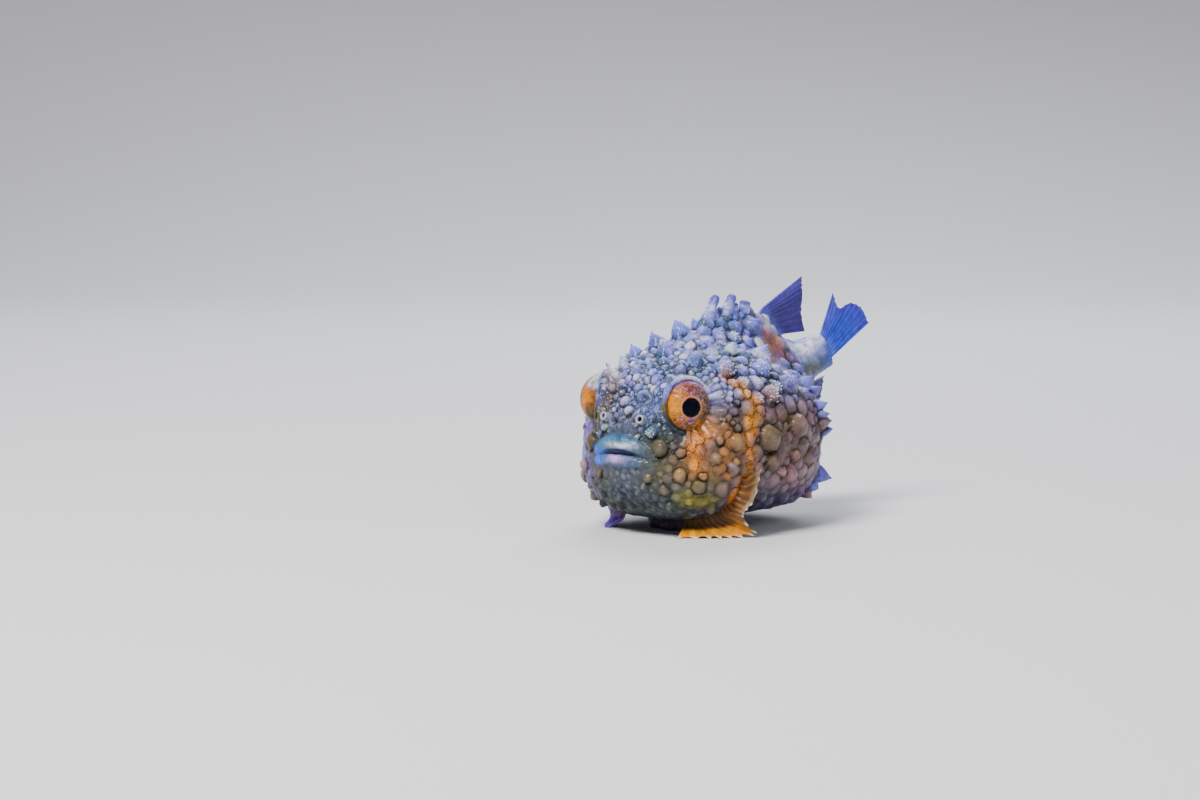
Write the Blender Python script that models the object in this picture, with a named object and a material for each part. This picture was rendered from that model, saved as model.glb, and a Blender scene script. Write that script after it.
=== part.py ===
"""A spiny lumpsucker at life size, perched on its sucker disc.

The fish faces -Y, its left flank is +X, and the floor is z = 0. Sizes below are in millimetres
and are turned into metres only when a mesh is made.
"""

import math

import bmesh
import bpy
import numpy as np

MM = 0.001
GAP = 0.3
OVERRUN = 0.4
WELD = 0.000001

# Body: one column for each station along the back-bone, from the snout to the root of the tail fin.
# The width and the two heights are half axes of the section, and the crest is the ridge of the back.
STATION = (-21.5, -17.0, -11.0, -4.0, 4.0, 11.0, 15.0, 18.5, 21.5, 24.0, 27.5)
AXIS_HEIGHT = (13.4, 14.0, 14.6, 15.0, 15.2, 15.8, 17.3, 20.5, 24.0, 25.8, 27.1)
HALF_WIDTH = (12.0, 14.0, 16.0, 16.9, 16.8, 15.2, 12.4, 8.2, 4.3, 2.9, 2.2)
RISE = (12.4, 13.3, 14.6, 15.8, 14.6, 11.6, 9.2, 7.8, 4.9, 3.7, 3.1)
DROP = (10.0, 11.6, 12.4, 12.9, 13.0, 13.5, 13.9, 12.8, 6.0, 3.4, 2.8)
CREST = (0.0, 0.0, 0.0, 1.4, 4.2, 7.6, 7.9, 5.1, 1.4, 0.0, 0.0)
CREST_HALF_WIDTH = 3.9
TILT_DEG = (0.0, 0.0, 0.0, 0.0, 0.0, 0.0, 5.0, 12.0, 20.0, 22.0, 20.0)
TAIL_SWING = 2.6
SWING_FROM = 13.0
NOSE_ROUND = 10.5
NOSE_POWER = 2.4
BACK_POWER = 2.0
BELLY_POWER = 3.0
SNOUT = STATION[0]
TAIL_END = STATION[-1]
HEAD_CUT = -8.2
TAIL_CUT = 19.8
BODY_SIDES = 48

# Sucker disc under the breast
DISC_Y = -3.2
DISC_THICK = 2.3
DISC_LOBES = 12
DISC_SCALLOP = 0.04
# radius, height and share of the scallop from the top of the pad, round its rim and into its hollow
DISC_PROFILE = (
    (6.4, 2.3, 0),
    (7.1, 1.6, 1),
    (7.4, 0.8, 1),
    (7.1, 0.0, 1),
    (5.4, 0.0, 0),
    (4.9, 0.9, 0),
    (2.4, 1.1, 0),
)
DISC_HOLLOW = 1.1
DISC_PADS = 12
DISC_PAD_RING = 3.5
DISC_PAD_SIZE = (0.62, 0.62, 0.42)
BELLY = DISC_THICK + GAP

# Eyes and lids
EYE_X = 8.15
EYE_Y = -15.6
EYE_Z = 21.6
EYE_RADIUS = 4.5
EYE_OUT = math.radians(68.0)
EYE_UP = math.radians(6.0)
ORBIT_RADIUS = 5.1
ORBIT_SINK = 0.8
LID_THICK = 0.42

# Mouth
MOUTH_HALF = 5.7
MOUTH_FRONT = -21.7
MOUTH_SWEEP = 1.5
UPPER_LIP = {"mid_z": 15.7, "end_z": 13.8, "mid_r": 1.25, "end_r": 0.6}
LOWER_LIP = {"mid_z": 12.6, "end_z": 12.2, "mid_r": 0.95, "end_r": 0.55}
MOUTH_CENTRE = (0.0, -21.0, 14.0)
MOUTH_SIZE = (3.8, 2.4, 0.75)

# Nostril tubes: station and angle on the snout, then sizes
NOSTRIL_S = -20.4
NOSTRIL_ANGLE = math.radians(66.0)
NOSTRIL_RADIUS = 0.75
NOSTRIL_BORE = 0.36
NOSTRIL_RISE = 1.0

# Gill flaps, just above the roots of the breast fins
GILL_S = -9.9
GILL_FROM = math.radians(-8.0)
GILL_TO = math.radians(16.0)
GILL_THICK = 0.62
GILL_SLIT = 0.34
GILL_LIFT = 0.1

# Tubercles: domed knobs with a blunt point, packed like cobbles; size by station, from snout to tail
SEED = 11
TUBERCLE_TRIES = 5000
TUBERCLE_AT = (-21.5, -16.0, -8.0, 2.0, 13.0, 20.0, 27.5)
TUBERCLE_RADIUS = (0.85, 1.15, 1.6, 1.95, 1.8, 1.25, 0.95)
TUBERCLE_CHIN = 0.7
TUBERCLE_ROOM = 1.46
TUBERCLE_SIDES = 5
TUBERCLE_SINK = 0.8
# share of its radius within which a tubercle that stands by a cut grows from both lengths of the body
TUBERCLE_SHARED = 0.55
CUTTER_SIZE = 60.0
# share of the radius and of the height of the ring under the point
TUBERCLE_SHOULDER = (0.76, 0.52)
# The large ones that the photo shows: station, angle in degrees, radius, height
LARGE_TUBERCLES = (
    (-4.0, 3.5, 2.3, 1.6),
    (3.5, 8.5, 2.1, 1.9),
    (-1.2, 29.5, 1.7, 1.4),
    (-11.2, 5.0, 1.5, 1.1),
    (-11.9, -6.5, 1.25, 0.9),
    (-14.5, -1.5, 1.25, 0.9),
    (-20.0, -20.5, 1.0, 0.7),
    (-18.6, -12.0, 1.3, 0.9),
    (-19.4, -39.5, 0.95, 0.6),
    (-18.0, -24.0, 1.2, 0.7),
    (-16.4, -21.5, 1.2, 0.7),
    (-14.4, -18.5, 1.2, 0.7),
    (-13.8, 66.0, 1.2, 1.0),
    (-11.8, 55.0, 1.9, 1.5),
    (-7.3, 52.5, 2.0, 1.5),
    (2.9, 22.0, 1.7, 1.5),
    (0.3, 47.5, 1.8, 1.6),
    (-6.1, 18.5, 1.6, 1.1),
    (14.6, -32.0, 1.7, 2.6),
    (13.0, 4.0, 1.8, 1.6),
    (11.5, 40.0, 1.6, 2.0),
    (4.0, 62.0, 1.9, 1.9),
)

# Fins. A fin's tables run from its first ray (0) to its last (1).
RAY_WEB = 0.25
RAY_RIDGE = 0.32
TAIL_RAYS = 11
TAIL_FIN_LOW = math.radians(34.0)
TAIL_FIN_HIGH = math.radians(69.0)
TAIL_FIN_YAW = math.radians(13.0)
TAIL_FIN_AT = (0.0, 0.25, 0.5, 0.72, 1.0)
TAIL_FIN_LENGTH = (11.6, 11.6, 10.4, 7.6, 8.6)
TAIL_FIN_ROOT = 2.1

SOFT_DORSAL_RAYS = 10
SOFT_DORSAL_FROM = 14.6
SOFT_DORSAL_TO = 21.0
SOFT_DORSAL_AT = (0.0, 0.35, 0.7, 1.0)
SOFT_DORSAL_RISE_DEG = (24.0, 17.0, 8.0, 1.0)
SOFT_DORSAL_LENGTH = (12.2, 10.2, 7.6, 5.6)

SPINY_DORSAL_RAYS = 6
SPINY_DORSAL_FROM = 0.5
SPINY_DORSAL_TO = 10.5
SPINY_DORSAL_AT = (0.0, 0.2, 0.5, 0.8, 1.0)
SPINY_DORSAL_LENGTH = (1.2, 3.2, 3.4, 2.6, 1.2)
SPINY_DORSAL_LEAN_DEG = (84.0, 44.0)
SPINY_DORSAL_WEB = 0.9
SPINY_DORSAL_RIDGE = 0.5
SPINY_DORSAL_NOTCH = 0.35

ANAL_RAYS = 9
ANAL_FROM = 18.8
ANAL_TO = 23.2
ANAL_AT = (0.0, 0.5, 1.0)
ANAL_RISE_DEG = (-4.0, 6.0, 14.0)
ANAL_LENGTH = (4.6, 5.6, 5.2)

BREAST_RAYS = 16
BREAST_HALF_ROOT = 0.55
BREAST_ROOT_AT = (0.0, 0.15, 0.3, 0.5, 0.75, 1.0)
BREAST_ROOT_S = (-12.8, -12.3, -11.6, -10.8, -10.1, -9.8)
BREAST_ROOT_DEG = (-74.0, -67.0, -59.0, -48.0, -33.0, -14.0)
BREAST_TIP_AT = (0.0, 0.15, 0.3, 0.45, 0.62, 0.78, 1.0)
# x, y and z of the ray tips
LEFT_TIPS = (
    (9.2, 12.4, 14.8, 16.8, 17.0, 17.4, 18.2),
    (-15.6, -12.8, -9.6, -6.8, -9.0, -8.6, -5.6),
    (0.0, 0.0, 0.0, 0.6, 4.2, 6.6, 10.6),
)
RIGHT_TIPS = (
    (9.2, 11.8, 13.6, 15.2, 16.0, 16.6, 17.0),
    (-15.0, -12.0, -8.6, -5.2, -3.8, -3.2, -3.0),
    (0.0, 0.0, 0.0, 0.4, 3.0, 5.6, 9.4),
)


def smooth(knots, values, at):
    """Monotone cubic through the knots, so that a profile never swells between two stations."""
    knots, values, at = (np.asarray(each, float) for each in (knots, values, at))
    step = np.diff(knots)
    slope = np.diff(values) / step
    before, after = slope[:-1], slope[1:]
    near, far = 2 * step[1:] + step[:-1], step[1:] + 2 * step[:-1]
    same = before * after > 0
    safe_before, safe_after = np.where(same, before, 1.0), np.where(same, after, 1.0)
    inner = np.where(same, (near + far) / (near / safe_before + far / safe_after), 0.0)
    rate = np.concatenate([slope[:1], inner, slope[-1:]])
    i = np.clip(np.searchsorted(knots, at) - 1, 0, len(step) - 1)
    t = (at - knots[i]) / step[i]
    one, two = t * t * (3 - 2 * t), t * (1 - t)
    bend = step[i] * two * (rate[i] * (1 - t) - rate[i + 1] * t)
    return values[i] + one * (values[i + 1] - values[i]) + bend


def axis_point(s):
    """The back-bone: straight in plan up to SWING_FROM, then swinging to the fish's left."""
    s = np.asarray(s, float)
    swing = TAIL_SWING * np.clip((s - SWING_FROM) / (TAIL_END - SWING_FROM), 0.0, None) ** 2
    return np.stack([swing, s, smooth(STATION, AXIS_HEIGHT, s)], -1)


def axis_frame(s):
    """Side, up and forward directions of the section at s: upright at the trunk, tilted at the tail."""
    s = np.asarray(s, float)
    yaw = np.arctan(2 * TAIL_SWING * np.clip(s - SWING_FROM, 0.0, None) / (TAIL_END - SWING_FROM) ** 2)
    tilt = np.radians(smooth(STATION, TILT_DEG, s))
    side = np.stack([np.cos(yaw), -np.sin(yaw), 0 * s], -1)
    ahead = np.stack([np.sin(yaw) * np.cos(tilt), np.cos(yaw) * np.cos(tilt), np.sin(tilt)], -1)
    return side, np.cross(side, ahead), ahead


def body_point(s, angle):
    """The skin: a superellipse at station s, angle 0 at the left flank and 90 degrees on the back.

    A bell-shaped crest stands on its upper half. The nose is rounded by shrinking the sections with
    a power curve, and the underside is flat at BELLY, where the sucker disc sits.
    """
    s, angle = np.broadcast_arrays(np.asarray(s, float), np.asarray(angle, float))
    t = np.clip((s - SNOUT) / NOSE_ROUND, 0.0, 1.0)
    full = (1 - (1 - t) ** NOSE_POWER) ** (1 / NOSE_POWER)
    across, height = np.cos(angle), np.sin(angle)
    power = np.where(height > 0, 2 / BACK_POWER, 2 / BELLY_POWER)
    x = smooth(STATION, HALF_WIDTH, s) * full * np.sign(across) * np.abs(across) ** power
    reach = np.where(height > 0, smooth(STATION, RISE, s), smooth(STATION, DROP, s)) * full
    z = reach * np.sign(height) * np.abs(height) ** power
    ridge = smooth(STATION, CREST, s) * np.exp(-(x / CREST_HALF_WIDTH) ** 2)
    z = z + ridge * np.clip(height, 0, None)
    side, up, _ = axis_frame(s)
    point = axis_point(s) + side * x[..., None] + up * z[..., None]
    point[..., 2] = np.maximum(point[..., 2], BELLY)
    return point


def body_normal(s, angle):
    """Outward normal of the skin, from small steps along and around it."""
    s, angle = np.broadcast_arrays(np.asarray(s, float), np.asarray(angle, float))
    s = np.clip(s, SNOUT + 0.3, TAIL_END)
    along = body_point(s + 0.1, angle) - body_point(s - 0.1, angle)
    around = body_point(s, angle + 0.02) - body_point(s, angle - 0.02)
    normal = np.cross(along, around)
    return normal / np.linalg.norm(normal, axis=-1, keepdims=True)


def make_object(name, points, faces):
    """A closed mesh in metres from points in millimetres, turned so that its faces point out."""
    mesh = bpy.data.meshes.new(name)
    mesh.from_pydata((np.asarray(points, float).reshape(-1, 3) * MM).tolist(), [], [list(f) for f in faces])
    shape = bmesh.new()
    shape.from_mesh(mesh)
    if shape.calc_volume(signed=True) < 0:
        bmesh.ops.reverse_faces(shape, faces=shape.faces)
    shape.to_mesh(mesh)
    shape.free()
    node = bpy.data.objects.new(name, mesh)
    bpy.context.scene.collection.objects.link(node)
    return node


def ring_faces(rows, sides):
    """Triangles between successive closed rings of points."""
    faces = []
    for i in range(rows - 1):
        for j in range(sides):
            a, b = i * sides + j, i * sides + (j + 1) % sides
            faces += [(a, b, b + sides), (a, b + sides, a + sides)]
    return faces


def loft(name, rings, start=None, end=None):
    """A closed solid through rings of points, each end closed by a fan to a point."""
    rows, sides = rings.shape[:2]
    start = rings[0].mean(0) if start is None else start
    end = rings[-1].mean(0) if end is None else end
    points = np.concatenate([rings.reshape(-1, 3), [start, end]])
    low, high = rows * sides, rows * sides + 1
    faces = ring_faces(rows, sides)
    last = (rows - 1) * sides
    for j in range(sides):
        k = (j + 1) % sides
        faces += [(low, k, j), (high, last + j, last + k)]
    return make_object(name, points, faces)


def sheet(name, middle, half, floor=False):
    """A thin closed solid: both faces stand off a middle grid and are split alike into triangles."""
    rows, columns = middle.shape[:2]
    along, across = np.gradient(middle, axis=0), np.gradient(middle, axis=1)
    normal = np.cross(along, across)
    normal /= np.maximum(np.linalg.norm(normal, axis=-1, keepdims=True), 1e-9)
    top, under = middle + normal * half[..., None], middle - normal * half[..., None]
    if floor:
        lowest = np.minimum(top[..., 2], under[..., 2])
        lift = np.maximum(-lowest, 0.0)
        top[..., 2] += lift
        under[..., 2] += lift
    points = np.concatenate([top.reshape(-1, 3), under.reshape(-1, 3)])
    size = rows * columns
    faces = []
    for i in range(rows - 1):
        for j in range(columns - 1):
            a = i * columns + j
            b, c, d = a + 1, a + columns + 1, a + columns
            faces += [(a, b, c), (a, c, d), (size + a, size + c, size + b), (size + a, size + d, size + c)]
    rim = [j for j in range(columns)] + [i * columns + columns - 1 for i in range(1, rows)]
    rim += [(rows - 1) * columns + j for j in range(columns - 2, -1, -1)]
    rim += [i * columns for i in range(rows - 2, 0, -1)]
    for a, b in zip(rim, rim[1:] + rim[:1]):
        faces += [(b, a, size + a), (b, size + a, size + b)]
    return make_object(name, points, faces)


def apply_boolean(node, pieces, operation, solver):
    """One Boolean with a collection of closed pieces, applied, after which the pieces go."""
    group = bpy.data.collections.new(node.name + "_pieces")
    for piece in pieces:
        group.objects.link(piece)
        bpy.context.scene.collection.objects.unlink(piece)
    bpy.context.scene.collection.children.link(group)
    modifier = node.modifiers.new(operation.lower(), "BOOLEAN")
    modifier.operation = operation
    modifier.solver = solver
    modifier.operand_type = "COLLECTION"
    modifier.collection = group
    found = node.evaluated_get(bpy.context.evaluated_depsgraph_get())
    result = bpy.data.meshes.new_from_object(found)
    node.modifiers.clear()
    node.data = result
    for piece in pieces:
        bpy.data.objects.remove(piece)
    bpy.data.collections.remove(group)


def keep_largest(node):
    """Weld what a cut left within WELD, and keep the one closed surface with the most volume."""
    shape = bmesh.new()
    shape.from_mesh(node.data)
    bmesh.ops.remove_doubles(shape, verts=shape.verts, dist=WELD)
    seen, groups = set(), []
    for face in shape.faces:
        if face in seen:
            continue
        seen.add(face)
        group, front = [face], [face]
        while front:
            for edge in front.pop().edges:
                for other in edge.link_faces:
                    if other not in seen:
                        seen.add(other)
                        group.append(other)
                        front.append(other)
        groups.append(group)
    groups.sort(key=lambda group: -abs(group_volume(group)))
    for group in groups[1:]:
        bmesh.ops.delete(shape, geom=group, context="FACES")
    shape.to_mesh(node.data)
    shape.free()


def group_volume(group):
    """Signed volume inside a group of faces, from fans of tetrahedra to the origin."""
    total = 0.0
    for face in group:
        corners = [vertex.co for vertex in face.verts]
        for b, c in zip(corners[1:], corners[2:]):
            total += corners[0].dot(b.cross(c)) / 6
    return total


def fuse(node, pieces, cuts=(), solver="EXACT"):
    """Join the pieces to the node, cut it, and keep its largest closed surface."""
    if pieces:
        apply_boolean(node, pieces, "UNION", solver)
    if cuts:
        apply_boolean(node, cuts, "DIFFERENCE", "EXACT")
    keep_largest(node)
    return node


def body_length(name, start, stop, rows, nose=False):
    """One length of the body between two flat cuts, or from the tip of the snout."""
    t = np.linspace(0, 1, rows)
    s = start + (stop - start) * ((1 - np.cos(t * math.pi / 2)) if nose else t)
    angle = np.arange(BODY_SIDES) * 2 * math.pi / BODY_SIDES
    rings = body_point(s[:, None], angle[None, :])
    if not nose:
        return loft(name, rings)
    return loft(name, rings[1:], start=axis_point(SNOUT))


def ball(name, centre, radius, sides=16, rows=10, axis=(0, 0, 1)):
    """A round solid with its poles on the given axis; radius may be one number or three."""
    axis = np.asarray(axis, float) / np.linalg.norm(axis)
    guide = np.array([0, 0, 1.0]) if abs(axis[2]) < 0.9 else np.array([0, 1.0, 0])
    one = np.cross(guide, axis)
    one /= np.linalg.norm(one)
    two = np.cross(axis, one)
    polar = np.linspace(0, math.pi, rows + 1)[1:-1, None]
    angle = np.arange(sides)[None, :] * 2 * math.pi / sides
    size = np.broadcast_to(np.asarray(radius, float), 3)
    unit = (np.sin(polar) * np.cos(angle))[..., None] * one + (np.sin(polar) * np.sin(angle))[..., None] * two
    unit = unit + np.cos(polar)[..., None] * axis
    centre = np.asarray(centre, float)
    return loft(name, centre + unit * size, centre + axis * size, centre - axis * size)


def tube(name, path, radius, sides=8, guide=(0, 0, 1)):
    """A round tapering tube along a path, closed by a fan at each end; guide is never along the path."""
    path = np.asarray(path, float)
    along = np.gradient(path, axis=0)
    along /= np.linalg.norm(along, axis=-1, keepdims=True)
    one = np.cross(guide, along)
    one /= np.linalg.norm(one, axis=-1, keepdims=True)
    two = np.cross(along, one)
    angle = np.arange(sides) * 2 * math.pi / sides
    ring = np.cos(angle)[None, :, None] * one[:, None] + np.sin(angle)[None, :, None] * two[:, None]
    return loft(name, path[:, None] + ring * np.asarray(radius, float)[:, None, None])


def hoop(name, centre, axis, radius, thick, sides=20, round_sides=6):
    """A ring round an axis."""
    axis = np.asarray(axis, float) / np.linalg.norm(axis)
    one = np.cross(axis, (0, 0, 1.0))
    one /= np.linalg.norm(one)
    two = np.cross(one, axis)
    angle = np.arange(sides) * 2 * math.pi / sides
    out = np.cos(angle)[:, None] * one + np.sin(angle)[:, None] * two
    turn = np.arange(round_sides) * 2 * math.pi / round_sides
    points = np.asarray(centre, float) + out[:, None] * (radius + thick * np.cos(turn))[None, :, None]
    points = points + axis * (thick * np.sin(turn))[None, :, None]
    faces = []
    for i in range(sides):
        for j in range(round_sides):
            a, b = i * round_sides + j, i * round_sides + (j + 1) % round_sides
            c, d = (a + round_sides) % (sides * round_sides), (b + round_sides) % (sides * round_sides)
            faces += [(a, b, d), (a, d, c)]
    return make_object(name, points, faces)


def eye_axis(side):
    """The way that an eye looks: out, a little ahead and a little up."""
    out, up = math.sin(EYE_OUT) * math.cos(EYE_UP), math.sin(EYE_UP)
    return np.array([side * out, -math.cos(EYE_OUT) * math.cos(EYE_UP), up])


def eye_centre(side):
    return np.array([side * EYE_X, EYE_Y, EYE_Z])


def build_eye(name, side):
    """An eyeball standing in its socket."""
    node = ball(name, eye_centre(side), EYE_RADIUS, sides=18, rows=9, axis=eye_axis(side))
    return paint(node, (0.55, 0.27, 0.06), 0.2)


def lip_path(shape):
    """The middle line of a lip, bowed round the front of the snout."""
    t = np.linspace(-1, 1, 13)
    x = MOUTH_HALF * np.sin(t * math.pi / 2)
    y = MOUTH_FRONT + MOUTH_SWEEP * (x / MOUTH_HALF) ** 2
    z = shape["end_z"] + (shape["mid_z"] - shape["end_z"]) * (1 - (x / MOUTH_HALF) ** 2)
    radius = shape["end_r"] + (shape["mid_r"] - shape["end_r"]) * np.sqrt(np.clip(1 - t * t, 0, 1))
    return np.stack([x, y, z], -1), radius


def build_lip(name, shape, colour):
    path, radius = lip_path(shape)
    return paint(tube(name, path, radius, sides=10), colour, 0.35)


def paint(node, colour, roughness, metallic=0.0):
    """The node's own Principled material."""
    material = bpy.data.materials.new(node.name)
    material.use_nodes = True
    shader = material.node_tree.nodes["Principled BSDF"]
    shader.inputs["Base Color"].default_value = (*colour, 1.0)
    shader.inputs["Roughness"].default_value = roughness
    shader.inputs["Metallic"].default_value = metallic
    node.data.materials.clear()
    node.data.materials.append(material)
    node.data.shade_smooth()
    node.data.set_sharp_from_angle(angle=math.radians(40))
    return node


def rows_and_rays(rays, per_ray, rows):
    """Parameters across and along a fin, and 1 on each ray falling to 0 half way to the next."""
    u = np.linspace(0, 1, (rays - 1) * per_ray + 1)
    return u, np.linspace(0, 1, rows), np.cos(np.pi * u * (rays - 1)) ** 2


def fan(root, tip, rays, rows, web=RAY_WEB, ridge=RAY_RIDGE, notch=0.06, taper=0.5, per_ray=2):
    """Middle grid and half thickness of a rayed fin between its root line and its free edge.

    root and tip are functions of u from 0 to 1. Rays are ridges raised in the fin's own surface and
    run a little past the web.
    """
    u, v, on_ray = rows_and_rays(rays, per_ray, rows)
    start, end = root(u), tip(u)
    end = start + (end - start) * (1 - notch * (1 - on_ray))[:, None]
    middle = start[None] + (end - start)[None] * v[:, None, None]
    half = (web + ridge * on_ray[None, :]) * (1 - taper * v[:, None])
    return middle, half


def sweep(start, rise, length, yaw=0.0):
    """Ray tips from their roots, a rise angle, a length and a heading aside."""
    way = np.stack([np.cos(rise) * math.sin(yaw), np.cos(rise) * math.cos(yaw), np.sin(rise)], -1)
    return start + way * length[:, None]


def tail_fin_grid(rows, per_ray=2):
    """Rays fan up and back from the root of the tail."""
    end = axis_point(TAIL_END + GAP)
    _, up, _ = axis_frame(TAIL_END)

    def root(u):
        return end + up * ((u - 0.5) * 2 * TAIL_FIN_ROOT)[:, None]

    def tip(u):
        rise = TAIL_FIN_LOW + (TAIL_FIN_HIGH - TAIL_FIN_LOW) * u
        return sweep(root(u), rise, smooth(TAIL_FIN_AT, TAIL_FIN_LENGTH, u), TAIL_FIN_YAW)

    return fan(root, tip, TAIL_RAYS, rows, per_ray=per_ray)


def midline_root(start, stop, angle):
    """A root line along the back (angle 90 degrees) or the belly, GAP off the skin."""

    def root(u):
        s = start + (stop - start) * u
        around = np.full_like(s, angle)
        return body_point(s, around) + body_normal(s, around) * GAP

    return root


def soft_dorsal_grid(rows, per_ray=2):
    root = midline_root(SOFT_DORSAL_FROM, SOFT_DORSAL_TO, math.pi / 2)

    def tip(u):
        rise = np.radians(smooth(SOFT_DORSAL_AT, SOFT_DORSAL_RISE_DEG, u))
        return sweep(root(u), rise, smooth(SOFT_DORSAL_AT, SOFT_DORSAL_LENGTH, u))

    return fan(root, tip, SOFT_DORSAL_RAYS, rows, per_ray=per_ray)


def spiny_dorsal_grid(rows, per_ray=2):
    root = midline_root(SPINY_DORSAL_FROM, SPINY_DORSAL_TO, math.pi / 2)
    front, back = SPINY_DORSAL_LEAN_DEG

    def tip(u):
        rise = np.radians(front + (back - front) * u)
        return sweep(root(u), rise, smooth(SPINY_DORSAL_AT, SPINY_DORSAL_LENGTH, u))

    return fan(root, tip, SPINY_DORSAL_RAYS, rows, SPINY_DORSAL_WEB, SPINY_DORSAL_RIDGE,
               notch=SPINY_DORSAL_NOTCH, per_ray=per_ray)


def anal_fin_grid(rows, per_ray=2):
    root = midline_root(ANAL_FROM, ANAL_TO, -math.pi / 2)

    def tip(u):
        rise = np.radians(smooth(ANAL_AT, ANAL_RISE_DEG, u))
        return sweep(root(u), rise, smooth(ANAL_AT, ANAL_LENGTH, u))

    return fan(root, tip, ANAL_RAYS, rows, per_ray=per_ray)


def breast_fin_grid(side, rows, per_ray=2):
    """A low fin: the root runs from the flank down and forward under the cheek, its front rays lie on
    the floor and its upper ones along the flank."""
    tips = LEFT_TIPS if side > 0 else RIGHT_TIPS
    mirror = np.array([side, 1, 1])

    def root(u):
        s = smooth(BREAST_ROOT_AT, BREAST_ROOT_S, u)
        around = np.radians(smooth(BREAST_ROOT_AT, BREAST_ROOT_DEG, u))
        return (body_point(s, around) + body_normal(s, around) * (GAP + BREAST_HALF_ROOT)) * mirror

    def tip(u):
        return np.stack([smooth(BREAST_TIP_AT, each, u) for each in tips], -1) * mirror

    return fan(root, tip, BREAST_RAYS, rows, per_ray=per_ray)


def build_tail_fin():
    return paint(sheet("caudal_fin", *tail_fin_grid(7)), (0.08, 0.2, 0.75), 0.4)


def build_soft_dorsal():
    return paint(sheet("dorsal_fin_second", *soft_dorsal_grid(6)), (0.25, 0.25, 0.75), 0.4)


def build_anal_fin():
    return paint(sheet("anal_fin", *anal_fin_grid(5)), (0.2, 0.2, 0.6), 0.4)


def build_breast_fin(name, side):
    colour = (0.9, 0.42, 0.04) if side > 0 else (0.35, 0.3, 0.6)
    return paint(sheet(name, *breast_fin_grid(side, 6), floor=True), colour, 0.4)


def build_spiny_dorsal():
    """The first back fin: stout fingers under knobbly skin, with small tubercles on both faces."""
    middle, half = spiny_dorsal_grid(5)
    node = sheet("dorsal_fin_first", middle, half)
    knobs = []
    for column in range(2, middle.shape[1] - 1, 2):
        for row, out in ((2, -1), (2, 1)):
            foot = middle[row, column] + np.array([out * half[row, column] * 0.8, 0, 0])
            knobs.append(tubercle(foot, np.array([out, 0.2, 0.3]), 0.75, 0.7))
    return paint(fuse(node, knobs), (0.5, 0.5, 0.75), 0.5)


def tubercle(foot, way, radius, height):
    """A domed knob with a blunt point, its root ring sunk under the skin."""
    way = np.asarray(way, float) / np.linalg.norm(way)
    one = np.cross(way, (0.31, 0.23, 0.92))
    one /= np.linalg.norm(one)
    two = np.cross(way, one)
    angle = np.arange(TUBERCLE_SIDES) * 2 * math.pi / TUBERCLE_SIDES
    out = np.cos(angle)[:, None] * one + np.sin(angle)[:, None] * two
    share, rise = TUBERCLE_SHOULDER
    base = foot - way * TUBERCLE_SINK
    rings = np.stack([base + out * radius, foot + way * height * rise + out * radius * share])
    return loft("tubercle", rings, base, foot + way * height)


def nostril_way(side):
    """Foot and direction of a nostril tube."""
    foot = body_point(NOSTRIL_S, NOSTRIL_ANGLE) * np.array([side, 1, 1])
    way = body_normal(NOSTRIL_S, NOSTRIL_ANGLE) * np.array([side, 1, 1])
    return foot, way


def gill_path(side, ahead=0.0):
    """The edge of a gill flap on the skin."""
    angle = np.linspace(GILL_FROM, GILL_TO, 9)
    s = np.full_like(angle, GILL_S + ahead)
    mirror = np.array([side, 1, 1])
    return body_point(s, angle) * mirror, body_normal(s, angle) * mirror


def keep_clear():
    """Points that no tubercle comes near, each group with its own reach."""
    zones = []
    for side in (-1, 1):
        zones.append((eye_centre(side)[None], ORBIT_RADIUS - 1.0))
        zones.append((nostril_way(side)[0][None], NOSTRIL_RADIUS + 0.5))
        zones.append((gill_path(side, GILL_THICK)[0], GILL_SLIT + 0.1))
        zones.append((breast_fin_grid(side, 16)[0].reshape(-1, 3), 0.85))
    for shape in (UPPER_LIP, LOWER_LIP):
        zones.append((lip_path(shape)[0], shape["mid_r"] + 0.6))
    for grid in (soft_dorsal_grid, anal_fin_grid, tail_fin_grid):
        zones.append((grid(12)[0].reshape(-1, 3), 0.85))
    zones.append((spiny_dorsal_grid(9)[0].reshape(-1, 3), 1.7))
    return zones


def tubercle_sites():
    """Stations, angles, radii and heights of the tubercles.

    The large ones come first, mirrored to both flanks; the rest are drawn at random and kept where
    they touch none of the earlier ones, so that they pack like cobbles.
    """
    draw = np.random.default_rng(SEED)
    s = draw.uniform(SNOUT + 0.6, TAIL_END - 1.4, TUBERCLE_TRIES)
    angle = draw.uniform(-math.pi / 2, 3 * math.pi / 2, TUBERCLE_TRIES)
    radius = smooth(TUBERCLE_AT, TUBERCLE_RADIUS, s) * draw.uniform(0.78, 1.15, TUBERCLE_TRIES)
    radius *= np.where(np.sin(angle) < -0.5, TUBERCLE_CHIN, 1.0)
    height = radius * draw.uniform(0.85, 1.2, TUBERCLE_TRIES)
    large = np.array(LARGE_TUBERCLES)
    large[:, 1] = np.radians(large[:, 1])
    mirrored = large * np.array([1, -1, 1, 1]) + np.array([0, math.pi, 0, 0])
    sites = np.concatenate([large, mirrored, np.stack([s, angle, radius, height], -1)])
    foot, way = body_point(sites[:, 0], sites[:, 1]), body_normal(sites[:, 0], sites[:, 1])
    point = foot + way * sites[:, 3:]
    free = foot[:, 2] - sites[:, 2] > BELLY + 1.0
    for group, reach in keep_clear():
        for place, room in ((foot, reach + sites[:, 2]), (point, reach + 0.3)):
            nearest = np.linalg.norm(place[:, None] - group[None], axis=-1).min(1)
            free &= nearest > room
    kept = []
    for i in np.flatnonzero(free):
        apart = np.linalg.norm(foot[kept] - foot[i], axis=-1)
        if np.all(apart > TUBERCLE_ROOM * (sites[kept, 2] + sites[i, 2])):
            kept.append(i)
    return sites[kept], foot[kept], way[kept]


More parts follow.
